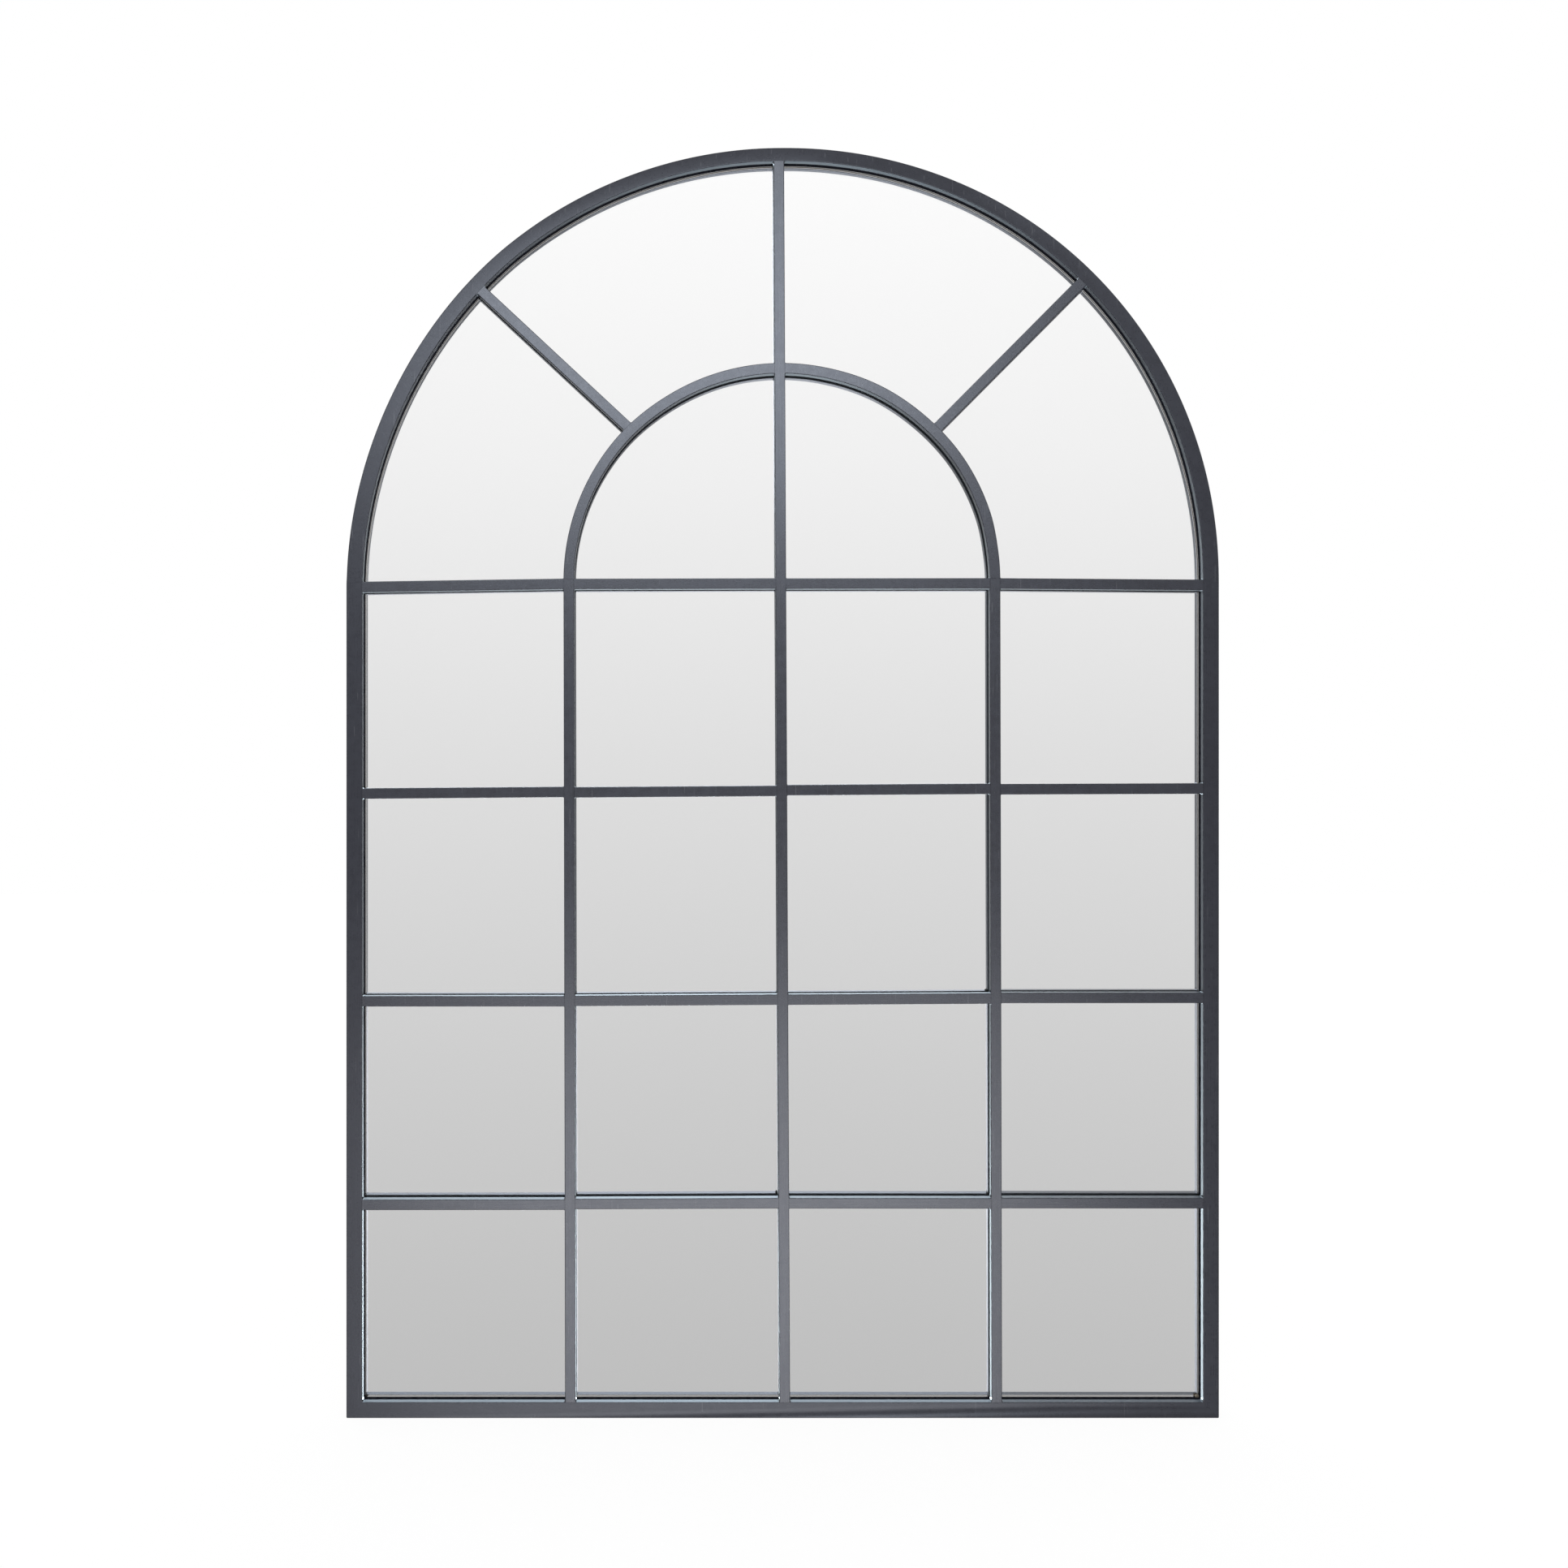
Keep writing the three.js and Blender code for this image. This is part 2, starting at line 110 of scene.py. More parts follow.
class Circle:
    """A round side. s is 1 where the metal is outside the circle and -1 where it is inside."""

    def __init__(self, c, r, s):
        self.c, self.r, self.s = c, r, s

    def shifted(self, by):
        return Circle(self.c, self.r - self.s * by, self.s)

    def miss(self, p):
        return self.s * (abs(p - self.c) - self.r)

    def normal(self, p):
        return self.s * unit(p - self.c)

    def between(self, p, q):
        start = cmath.phase(p - self.c)
        turn = cmath.phase((q - self.c) / (p - self.c))
        count = max(2, math.ceil(abs(turn) / math.radians(1.0)))
        rays = [cmath.rect(1, start + turn * i / count) for i in range(1, count)]
        return [(self.c + self.r * ray, self.s * ray) for ray in rays]


def meet(first, second, near, rounds=12):
    """The crossing of two sides near a point, by Newton's method."""
    p = near
    for _ in range(rounds):
        f, g = first.miss(p), second.miss(p)
        a, b = first.normal(p), second.normal(p)
        det = a.real * b.imag - a.imag * b.real
        p -= complex(f * b.imag - g * a.imag, g * a.real - f * b.real) / det
    return p


def corner(first, second, near, radius, steps=CORNER_STEPS):
    """Vertices (point, direction into the metal) round a fillet, or round an edge if radius < 0."""
    centre = meet(first.shifted(radius), second.shifted(radius), near)
    a, b = first.normal(centre), second.normal(centre)
    turn = cmath.phase(b / a)
    rays = [a * cmath.rect(1, turn * i / steps) for i in range(steps + 1)]
    return [(centre + radius * ray, ray) for ray in rays]


class Loop:
    """A closed opening. Each side has a tag, and side(tag) runs from corner middle to corner middle."""

    def __init__(self, sides, guesses, radius=FILLET):
        count = len(sides)
        after_side = [sides[(i + 1) % count] for i in range(count)]
        corners = [
            corner(one[1], other[1], near, radius) for one, other, near in zip(sides, after_side, guesses)
        ]
        self.sides = {}
        for i, (tag, curve) in enumerate(sides):
            before, after = corners[i - 1], corners[i]
            middle = len(before) // 2
            first, last = before[middle:], after[: middle + 1]
            self.sides[tag] = first + curve.between(first[-1][0], last[0][0]) + last

    def side(self, tag):
        """The side as the metal beside it is walked round, with the metal on the left."""
        return list(reversed(self.sides[tag]))

    def end(self, tag):
        """The middle of the corner after the side."""
        return self.sides[tag][-1]


def mullion_at(m, z):
    return (m - 1) * PITCH + SIDEWAYS[m] - LEANS[m] * (z - SPRING / 2) / 1000


def mullion_side(m, side):
    """Side is -1 or 1, and the metal lies the other way."""
    direction = complex(-LEANS[m] / 1000, 1)
    return Line(mullion_at(m, 0) + side * HALF_BAR, side * direction * 1j)


def row_side(r, side, c):
    """Side is 1 for the top and -1 for the underside of a row's length between two mullions."""
    ends = []
    for share, drop in zip(GAUGES, DROPS[r][c]):
        x = (c + share) * PITCH - OPENING
        ends.append(complex(x, ROWS[r] + CLIMBS[r] * x / 1000 + drop))
    direction = unit(ends[1] - ends[0])
    return Line(ends[0] + side * HALF_BAR * direction * 1j, -side * direction * 1j)


LEFT_WALL = Line(-OPENING, -1)
RIGHT_WALL = Line(OPENING, 1)
RAIL_TOP = Line(FACE * 1j, -1j)
ARCH_IN = Circle(ARCH_CENTRE, OPENING, 1)

inner_x = (mullion_at(0, SPRING) + mullion_at(2, SPRING)) / 2
inner_r = (mullion_at(2, SPRING) - mullion_at(0, SPRING)) / 2
INNER_C = complex(inner_x, SPRING + INNER_STILT)
INNER_OUT = Circle(INNER_C, inner_r + HALF_BAR, -1)
INNER_IN = Circle(INNER_C, inner_r - HALF_BAR, 1)


def spoke_side(name, side):
    """Side is 1 for the side that lies anticlockwise of the spoke."""
    foot, head = SPOKES[name]
    start = cmath.rect(inner_r, math.radians(foot)) + SPRING * 1j
    direction = unit(cmath.rect(OPENING, math.radians(head)) + SPRING * 1j - start)
    return Line(start + side * HALF_BAR * direction * 1j, -side * direction * 1j)


panes = {}
for c in range(4):
    left = mullion_side(c - 1, 1) if c else LEFT_WALL
    right = mullion_side(c, -1) if c < 3 else RIGHT_WALL
    for b in range(4):
        bottom = row_side(b - 1, 1, c) if b else RAIL_TOP
        sides = [("bottom", bottom), ("right", right), ("top", row_side(b, -1, c)), ("left", left)]
        panes[c, b] = Loop(sides, [complex(0, ROWS[b])] * 4)

foot_z = (SPRING + HALF_BAR) * 1j
spoke_in = {n: cmath.rect(inner_r, math.radians(a[0])) + SPRING * 1j for n, a in SPOKES.items()}
spoke_out = {n: cmath.rect(OPENING, math.radians(a[1])) + SPRING * 1j for n, a in SPOKES.items()}
crown_in = complex(inner_x, SPRING + inner_r)
crown_out = complex(0, SPRING + OPENING)
row_top = [row_side(3, 1, c) for c in range(4)]
arch, inner_out, inner_in = ("arch", ARCH_IN), ("inner", INNER_OUT), ("inner", INNER_IN)
left_of_middle, right_of_middle = [("mullion", mullion_side(1, side)) for side in (-1, 1)]
left_spoke_top, left_spoke_foot = [("spoke", spoke_side("left", side)) for side in (-1, 1)]
right_spoke_foot, right_spoke_top = [("spoke", spoke_side("right", side)) for side in (-1, 1)]
panes["low_left"] = Loop(
    [("row", row_top[0]), inner_out, left_spoke_foot, arch],
    [-inner_r + foot_z, spoke_in["left"], spoke_out["left"], -OPENING + foot_z],
)
panes["high_left"] = Loop(
    [inner_out, left_of_middle, arch, left_spoke_top],
    [crown_in - HALF_BAR, crown_out - HALF_BAR, spoke_out["left"], spoke_in["left"]],
)
panes["high_right"] = Loop(
    [inner_out, right_spoke_top, arch, right_of_middle],
    [spoke_in["right"], spoke_out["right"], crown_out + HALF_BAR, crown_in + HALF_BAR],
)
panes["low_right"] = Loop(
    [("row", row_top[3]), arch, right_spoke_foot, inner_out],
    [OPENING + foot_z, spoke_out["right"], spoke_in["right"], inner_r + foot_z],
)
panes["quarter_left"] = Loop(
    [("row", row_top[1]), left_of_middle, inner_in],
    [foot_z - HALF_BAR, crown_in - HALF_BAR, -inner_r + foot_z],
)
panes["quarter_right"] = Loop(
    [("row", row_top[2]), inner_in, right_of_middle],
    [inner_r + foot_z, crown_in + HALF_BAR, foot_z + HALF_BAR],
)


def side(pane, tag):
    return panes[pane].side(tag)


def end(pane, tag):
    return [panes[pane].end(tag)]


# ------------ how the real frame is out of true

SWELL = 4.6  # how far the rolled arch stands outside a true half circle, on its right
FLATTENING = 2.9  # how far it lies inside one, on its left
FLAT_FROM, FLAT_SPAN = 130, 53  # where that is, in degrees
ONSET = 1.3  # power that makes both begin gently
BETWEEN_ARCHES = 300.0  # a radius between the inner arch and the frame's
INNER_RADII = (250, 290)  # only the inner arch's metal lies between these
INNER_BEND = 1.2  # how far the inner arch is out of round
INNER_ANGLES = (8, 172)  # clear of its feet


def smoothstep(x):
    x = min(max(x, 0.0), 1.0)
    return x * x * (3 - 2 * x)


def hill(x, start, rise, stop, fall):
    """1 between two soft flanks, and 0 outside start and stop."""
    return smoothstep((x - start) / rise) * smoothstep((stop - x) / fall)


def bulge(degrees):
    """How far the arch stands outside a true half circle, in millimetres."""
    if 0 < degrees < 90:
        return SWELL * math.sin(math.radians(2 * degrees)) ** ONSET
    if FLAT_FROM < degrees < 180:
        return -FLATTENING * math.sin(math.pi * (degrees - FLAT_FROM) / FLAT_SPAN) ** ONSET
    return 0.0


def bent_inner(p):
    """A point of the small arch, pushed out at its right foot and in at its top."""
    spot = p - INNER_C
    angle = math.degrees(cmath.phase(spot)) if spot else 0.0
    start, stop = INNER_ANGLES
    if not INNER_RADII[0] < abs(spot) < INNER_RADII[1] or not start < angle < stop:
        return p
    right = hill(angle, start, 10, 52, 20)
    top = hill(angle, 60, 20, 140, 20)
    return p + unit(spot) * INNER_BEND * (right - top)


def bent(p):
    """A point of the front view, moved with the arch or with the small arch inside it."""
    from_centre = p - ARCH_CENTRE
    if from_centre.imag <= 0:
        return p
    if abs(from_centre) < BETWEEN_ARCHES:
        return bent_inner(p)
    share = min((abs(from_centre) - BETWEEN_ARCHES) / (OPENING - BETWEEN_ARCHES), 1.0)
    return p + unit(from_centre) * share * bulge(math.degrees(cmath.phase(from_centre)))


def place(p, depth):
    q = bent(p)
    return Vector((q.real * MM, (FRONT + depth) * MM, q.imag * MM))


# ------------ meshes


WELD = 1e-7  # metres within which two vertices are one


def finish_piece(name, bm, material, body="mirror", smooth=35.0, weld=True):
    """Makes an object of a mesh, shaded smoothly across edges of less than so many degrees."""
    if weld:
        bmesh.ops.remove_doubles(bm, verts=bm.verts, dist=WELD)
    bmesh.ops.recalc_face_normals(bm, faces=bm.faces)
    for face in bm.faces:
        face.smooth = True
    for edge in bm.edges:
        if len(edge.link_faces) == 2:
            edge.smooth = edge.calc_face_angle(0.0) < math.radians(smooth)
    mesh = bpy.data.meshes.new(name)
    bm.to_mesh(mesh)
    bm.free()
    obj = bpy.data.objects.new(name, mesh)
    bpy.context.scene.collection.objects.link(obj)
    for one in material if isinstance(material, list) else [material]:
        mesh.materials.append(one)
    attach(obj, body)
    return obj


def inside(p):
    """Whether a point of the frame's outline is on the opening's side."""
    if p.imag > SPRING:
        return abs(p - ARCH_CENTRE) < (OPENING + HALF) / 2
    return abs(p.real) < (OPENING + HALF) / 2 and p.imag > FACE / 2


SAME = 1e-6  # millimetres within which two points of an outline are one
ROUNDED = 5.0  # the front edges' rounding ends well before this depth


def skin(bm, rings, flipped=False):
    """Faces between one ring of vertices and the next."""
    for near, far in zip(rings, rings[1:]):
        for i in range(len(near)):
            j = (i + 1) % len(near)
            quad = (near[i], near[j], far[j], far[i])
            bm.faces.new(quad[::-1] if flipped else quad)


def sweep(bm, outline, profile, straight_outside=False):
    """A closed solid from an outline, anticlockwise from the front, and steps (offset into it, depth).

    With straight_outside only the opening's side has the steps behind the rounded front edge.
    """
    kept = []
    for point in outline:
        if not kept or abs(point[0] - kept[-1][0]) > SAME:
            kept.append(point)
    if abs(kept[0][0] - kept[-1][0]) < SAME:
        kept.pop()
    rings = []
    for offset, depth in profile:
        everywhere = depth < ROUNDED or not straight_outside
        level = [p + d * offset if everywhere or inside(p) else p for p, d in kept]
        rings.append([bm.verts.new(place(p, depth)) for p in level])
    front = bm.faces.new(rings[0])
    back = bm.faces.new(list(reversed(rings[-1])))
    skin(bm, rings, flipped=True)
    return front, back


def rounding(radius, depth, steps=5, flat=0.35):
    """From a front face over its rounded edge and just onto the wall behind it, by a flat strip of each."""
    turns = [math.pi / 2 * i / steps for i in range(steps + 1)]
    round_edge = [(radius * (1 - math.sin(t)), depth + radius * (1 - math.cos(t))) for t in turns]
    return [(radius + flat, depth)] + round_edge + [(0.0, depth + radius + flat)]


def rounding_back(radius, depth, steps=4, flat=0.3):
    """The same for a back face at a depth."""
    return [(o, 2 * depth - d) for o, d in reversed(rounding(radius, depth, steps, flat))]


# ------------ materials

MIX_A, MIX_B, MIX_RESULT = 6, 7, 2  # sockets of a Mix node for colours


class Tree:
    """The nodes of a material or a world."""

    def __init__(self, owner):
        owner.use_nodes = True
        self.tree = owner.node_tree

    def add(self, kind, **settings):
        node = self.tree.nodes.new(kind)
        for key, value in settings.items():
            setattr(node, key, value)
        return node

    def link(self, a, b):
        self.tree.links.new(a, b)


class Nodes(Tree):
    """A surface built on the usual shader, with patterns in the piece's own metres."""

    def __init__(self, name):
        self.material = bpy.data.materials.new(name)
        super().__init__(self.material)
        self.shader = self.tree.nodes["Principled BSDF"]
        self.where = self.add("ShaderNodeTexCoord").outputs["Object"]

    def set(self, **values):
        for key, value in values.items():
            self.shader.inputs[key.replace("_", " ")].default_value = value

    def stretched(self, scale, turn=(0, 0, 0)):
        node = self.add("ShaderNodeMapping")
        node.inputs["Scale"].default_value = scale
        node.inputs["Rotation"].default_value = turn
        self.link(self.where, node.inputs["Vector"])
        return node.outputs["Vector"]

    def noise(self, scale, detail=3.0, rough=0.55, vector=None, distortion=0.0):
        node = self.add("ShaderNodeTexNoise")
        node.inputs["Scale"].default_value = scale
        node.inputs["Detail"].default_value = detail
        node.inputs["Roughness"].default_value = rough
        node.inputs["Distortion"].default_value = distortion
        self.link(vector or self.where, node.inputs["Vector"])
        return node.outputs["Fac"]

    def cells(self, scale):
        node = self.add("ShaderNodeTexVoronoi")
        node.inputs["Scale"].default_value = scale
        self.link(self.where, node.inputs["Vector"])
        return node.outputs["Distance"]

    def spread(self, value, low, high, to_low=0.0, to_high=1.0):
        node = self.add("ShaderNodeMapRange")
        node.inputs["From Min"].default_value = low
        node.inputs["From Max"].default_value = high
        node.inputs["To Min"].default_value = to_low
        node.inputs["To Max"].default_value = to_high
        self.link(value, node.inputs["Value"])
        return node.outputs["Result"]

    def math(self, operation, a, b):
        node = self.add("ShaderNodeMath", operation=operation)
        for socket, value in zip(node.inputs, (a, b)):
            if isinstance(value, (int, float)):
                socket.default_value = value
            else:
                self.link(value, socket)
        return node.outputs["Value"]

    def mix(self, fac, a, b):
        node = self.add("ShaderNodeMix", data_type="RGBA")
        self.link(fac, node.inputs["Factor"])
        for index, value in ((MIX_A, a), (MIX_B, b)):
            if isinstance(value, tuple):
                node.inputs[index].default_value = (*value, 1)
            else:
                self.link(value, node.inputs[index])
        return node.outputs[MIX_RESULT]

    def bump(self, height, distance, onto=None):
        node = self.add("ShaderNodeBump")
        node.inputs["Distance"].default_value = distance
        node.inputs["Strength"].default_value = 1.0
        self.link(height, node.inputs["Height"])
        if onto is not None:
            self.link(onto, node.inputs["Normal"])
        return node.outputs["Normal"]

    def to(self, socket, value):
        self.link(value, self.shader.inputs[socket])

    def average(self, a, b):
        return self.math("ADD", self.math("MULTIPLY", a, 0.5), self.math("MULTIPLY", b, 0.5))

    def mottled(self, tone, dark, light, low=0.35, high=0.65):
        return self.mix(self.spread(tone, low, high), dark, light)


WORN = (0.11, 0.11, 0.115)  # dust and scratches on the paint
WHITE = (1.0, 1.0, 1.0)


def paint(name, dark, light, rough, gloss, along, relief=1.0, sheen=WHITE):
    """Satin enamel brushed along the steel: long strokes, soft blotches, dust specks, fine scratches."""
    n = Nodes(name)
    blotch = n.noise(14.0, 4.0, 0.6)
    mottle = n.noise(110.0, 3.0, 0.55)
    scale = {"up": (1.0, 1.0, 0.03), "across": (0.03, 1.0, 1.0), "round": (1.0, 1.0, 1.0)}[along]
    strokes = n.noise(650.0 if along != "round" else 260.0, 2.0, 0.5, n.stretched(scale))
    coat = n.mottled(n.average(blotch, mottle), dark, light, 0.36, 0.64)
    dust = n.spread(n.cells(95.0), 0.035, 0.05, 1.0, 0.0)
    specks = n.math("MULTIPLY", dust, n.spread(blotch, 0.56, 0.6))
    lines = n.noise(45.0, 1.0, 0.4, n.stretched((14.0, 14.0, 0.45), (0, 0.7, 0)))
    scratches = n.spread(lines, 0.72, 0.75, 0.0, 0.35)
    marks = n.math("MAXIMUM", n.math("MULTIPLY", specks, 0.5), scratches)
    n.to("Base Color", n.mix(marks, coat, WORN))
    smooth, matt = rough - 0.02 * relief, rough + 0.025 * relief
    n.to("Roughness", n.spread(n.average(mottle, strokes), 0.36, 0.64, smooth, matt))
    normal = n.bump(n.noise(240.0, 2.0, 0.45), 0.000018 * relief)
    n.to("Normal", n.bump(strokes, 0.00001 * relief, onto=normal))
    # sheen tints the paint's reflections: white leaves them untinted, and the sides' blue sheen is a
    # painted reflection
    n.set(Metallic=0.0, IOR=1.5, Specular_IOR_Level=gloss, Specular_Tint=(*sheen, 1))
    return n.material


PAINT = {}
for part, dark, light, rough, gloss in (
    ("bar", (0.006, 0.0065, 0.0115), (0.010, 0.011, 0.0175), 0.275, 0.5),
    ("frame", (0.0095, 0.010, 0.015), (0.0130, 0.0138, 0.0195), 0.28, 0.34),
):
    for along in ("up", "across", "round"):
        PAINT[part, along] = paint(f"paint_{part}_{along}", dark, light, rough, gloss, along)

# The sides' sheen colour is a painted reflection: it tints their reflections blue in place of bluish light.
SIDE_DARK, SIDE_LIGHT, SIDE_PAINTED_BLUE_SHEEN = (0.007, 0.0075, 0.012), (0.012, 0.0125, 0.018), (0.66, 0.83, 1.0)
SIDE_PAINT = paint("paint_sides", SIDE_DARK, SIDE_LIGHT, 0.41, 0.42, "round", 0.15, SIDE_PAINTED_BLUE_SHEEN)


def mirror_materials():
    """Clear glass, and the silver at its back."""
    glass = Nodes("clear_glass")
    glass.set(Base_Color=(1, 1, 1, 1), Roughness=0.0, IOR=1.5, Transmission_Weight=1.0)
    silver = Nodes("silver_coating")
    silver.set(Base_Color=(0.985, 0.985, 0.985, 1), Roughness=0.0, Metallic=1.0)
    return [glass.material, silver.material]


def seal_material():
    n = Nodes("edge_seal")
    tone = n.noise(300.0, 3.0)
    n.to("Base Color", n.mottled(tone, (0.008, 0.008, 0.009), (0.02, 0.02, 0.022)))
    n.to("Normal", n.bump(n.noise(700.0), 0.0002))
    n.set(Roughness=0.6)
    return n.material


# Black tape: partly the tape itself, partly painted shade, since its near-black, dull surface darkens the
# line beside each bar.
def tape_and_shade_material():
    n = Nodes("black_tape")
    grain = n.noise(900.0, 3.0)
    n.to("Base Color", n.mottled(grain, (0.003, 0.003, 0.004), (0.009, 0.009, 0.010)))
    n.to("Normal", n.bump(grain, 0.0001))
    n.set(Roughness=0.85, Specular_IOR_Level=0.12)
    return n.material


def glue_material():
    """Yellowed, cloudy glue."""
    n = Nodes("old_glue")
    cloud = n.noise(420.0, 3.0)
    n.to("Base Color", n.mottled(cloud, (0.20, 0.165, 0.12), (0.42, 0.37, 0.29)))
    n.to("Normal", n.bump(cloud, 0.0002))
    n.set(Roughness=0.35)
    return n.material


def board_material():
    """Raw fibreboard: short fibres pressed flat, darker flecks and a slight warm mottling."""
    n = Nodes("fibreboard")
    fibres = n.noise(520.0, 5.0, 0.7, n.stretched((1.0, 1.0, 0.22)), 0.8)
    cross = n.noise(430.0, 5.0, 0.7, n.stretched((0.25, 1.0, 1.0)), 0.8)
    weave = n.math("MULTIPLY", n.math("ADD", fibres, cross), 0.5)
    cloud = n.noise(5.0, 4.0, 0.5)
    base = n.mottled(weave, (0.19, 0.115, 0.062), (0.37, 0.25, 0.145), 0.36, 0.62)
    warm = n.mix(n.spread(cloud, 0.35, 0.65, 0.0, 0.55), base, (0.26, 0.165, 0.09))
    spots = n.spread(n.cells(170.0), 0.06, 0.16, 1.0, 0.0)
    flecks = n.math("MULTIPLY", spots, n.spread(weave, 0.5, 0.56))
    n.to("Base Color", n.mix(flecks, warm, (0.09, 0.052, 0.03)))
    n.to("Roughness", n.spread(weave, 0.35, 0.65, 0.72, 0.9))
    n.to("Normal", n.bump(weave, 0.0005))
    return n.material


def zinc_material():
    """Bright zinc plating with faint crystal cloudiness and handling scratches."""
    n = Nodes("zinc")
    spangle = n.cells(700.0)
    cloud = n.noise(120.0, 4.0)
    scratches = n.noise(2400.0, 2.0, 0.5, n.stretched((0.06, 1.0, 1.0), (0, 0.6, 0)))
    tone = n.math("ADD", n.math("MULTIPLY", spangle, 0.4), n.math("MULTIPLY", cloud, 0.6))
    n.to("Base Color", n.mottled(tone, (0.50, 0.51, 0.52), (0.70, 0.71, 0.71), 0.25, 0.6))
    n.to("Roughness", n.spread(n.math("ADD", cloud, scratches), 0.75, 1.25, 0.28, 0.5))
    n.to("Normal", n.bump(scratches, 0.00003))
    n.set(Metallic=1.0)
    return n.material


def rubber_material():
    n = Nodes("rubber")
    grain = n.noise(1500.0, 3.0)
    n.to("Base Color", n.mottled(n.noise(260.0, 4.0), (0.014, 0.014, 0.015), (0.035, 0.035, 0.037)))
    n.to("Roughness", n.spread(grain, 0.35, 0.65, 0.72, 0.9))
    n.to("Normal", n.bump(grain, 0.0002))
    return n.material


GLASS = mirror_materials()
SEAL = seal_material()
GLUE = glue_material()
TAPE_AND_SHADE = tape_and_shade_material()
BOARD = board_material()
ZINC = zinc_material()
RUBBER = rubber_material()

# ------------ painted frame and grille

# Bars and frame are set in by NECK just in front of the glass, which leaves a shadowed dark line beside
# each, deepened by painted shade: the neck's near-black tape coat.
NECK = 1.6
BAR_STEP = 11.6
FRAME_STEP = 9.6
FACE_COAT, SIDE_COAT, TAPED_AND_SHADED = 0, 1, 2  # places in a painted piece's list of materials
SIDEWAYS_NORMAL = 0.25  # a face whose normal has less depth than this is a side


def stepped(step):
    into = rounding_back(0.3, step, 2, 0.2) + [(NECK, step), (NECK, BAR_BACK)]
    return rounding(EDGE, 0.0) + into


BAR_PROFILE = stepped(BAR_STEP)
FRAME_FRONT = stepped(FRAME_STEP)
FRAME_REAR = [(0.0, BAR_BACK)] + rounding_back(EDGE, FRAME_BACK)
painted, rear_painted, fittings = [], [], []


def spot_and_depth(co):
    return complex(co.x, co.z) / MM, co.y / MM - FRONT


def mark_sides(bm, step, everywhere=True):
    """The sides hold a rougher coat, and behind the step the metal is bedded in black tape, near-black and
    dull so that it also paints shade into the dark line beside each bar.
    """
    bm.normal_update()
    for face in bm.faces:
        spot, depth = spot_and_depth(face.calc_center_median())
        if depth > step - 0.01 and (everywhere or inside(spot)):
            face.material_index = TAPED_AND_SHADED
        elif abs(face.normal.y) < SIDEWAYS_NORMAL:
            face.material_index = SIDE_COAT
        else:
            face.material_index = FACE_COAT


def bar(name, outline, along):
    bm = bmesh.new()
    sweep(bm, outline, BAR_PROFILE)
    mark_sides(bm, BAR_STEP)
    obj = finish_piece(f"{name}_painted", bm, [PAINT["bar", along], SIDE_PAINT, TAPE_AND_SHADE])
    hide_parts(name)
    painted.append(obj)


DISH = 2.0  # how far the arch's front face falls away at its outer edge
DISH_FROM, DISH_RISE = 15, 60  # degrees above the springing line, on each side
DISH_RIM = 1.5  # the flat rim beside the opening


def strips(bm, face):
    """Replaces the arch's front face by triangles from its inner to its outer edge."""
    loop = list(face.verts)
    spots = [spot_and_depth(v.co)[0] - ARCH_CENTRE for v in loop]
    below_seam = 5j

    def by_angle(i):
        return cmath.phase(spots[i] + below_seam)

    middle = (OPENING + HALF) / 2
    near = sorted([i for i, p in enumerate(spots) if abs(p) < middle], key=by_angle)
    far = sorted([i for i, p in enumerate(spots) if abs(p) >= middle], key=by_angle)
    a = b = 0
    triples = []
    while a < len(near) - 1 or b < len(far) - 1:
        far_done = b == len(far) - 1
        if far_done or (a < len(near) - 1 and by_angle(near[a + 1]) < by_angle(far[b + 1])):
            triples.append((near[a], far[b], near[a + 1]))
            a += 1
        else:
            triples.append((near[a], far[b], far[b + 1]))
            b += 1
    bmesh.ops.delete(bm, geom=[face], context="FACES_ONLY")
    for triple in triples:
        bm.faces.new([loop[i] for i in triple])


def dish(bm, face):
    """Rolling has turned the arch's front face: it falls away towards its outer edge."""
    strips(bm, face)
    for v in bm.verts:
        spot, depth = spot_and_depth(v.co)
        if depth < EDGE + 0.5:
            p = spot - ARCH_CENTRE
            height = math.degrees(math.asin(min(max(p.imag / abs(p), 0.0), 1.0)))
            outward = (abs(p) - OPENING - DISH_RIM) / (FACE - DISH_RIM)
            share = smoothstep((height - DISH_FROM) / DISH_RISE) * min(max(outward, 0.0), 1.0)
            v.co.y += DISH * share * MM


def tube(name, front, rear, along, dished=False):
    """A frame tube: its body beside the grille, and its body behind it."""
    coat = PAINT["frame", along]
    bm = bmesh.new()
    front_face, _ = sweep(bm, front, FRAME_FRONT, straight_outside=True)
    if dished:
        dish(bm, front_face)
    mark_sides(bm, FRAME_STEP, everywhere=False)
    coats = [coat, SIDE_PAINT, TAPE_AND_SHADE]
    obj = finish_piece(f"{name}_painted", bm, coats, weld=False)
    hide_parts(name)
    painted.append(obj)
    bm = bmesh.new()
    sweep(bm, rear, FRAME_REAR)
    obj = finish_piece(f"{name}_rear_painted", bm, coat, weld=False)
    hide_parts(name)
    rear_painted.append(obj)


row_names = ["row_1", "row_2", "row_3", "spring_row"]
above_spring = ["low_left", "quarter_left", "quarter_right", "low_right"]
for r, row_name in enumerate(row_names):
    for c in range(4):
        over = side((c, r + 1), "bottom") if r < 3 else side(above_spring[c], "row")
        bar(f"{row_name}_bar_{c + 1}", side((c, r), "top") + over, "across")


def walls(c, tag, downwards=False):
    """One side of the panes of a column, joined from row to row."""
    order = range(3, -1, -1) if downwards else range(4)
    return [v for b in order for v in side((c, b), tag)]


def sides_of(tag, *names):
    return [v for pane in names for v in side(pane, tag)]


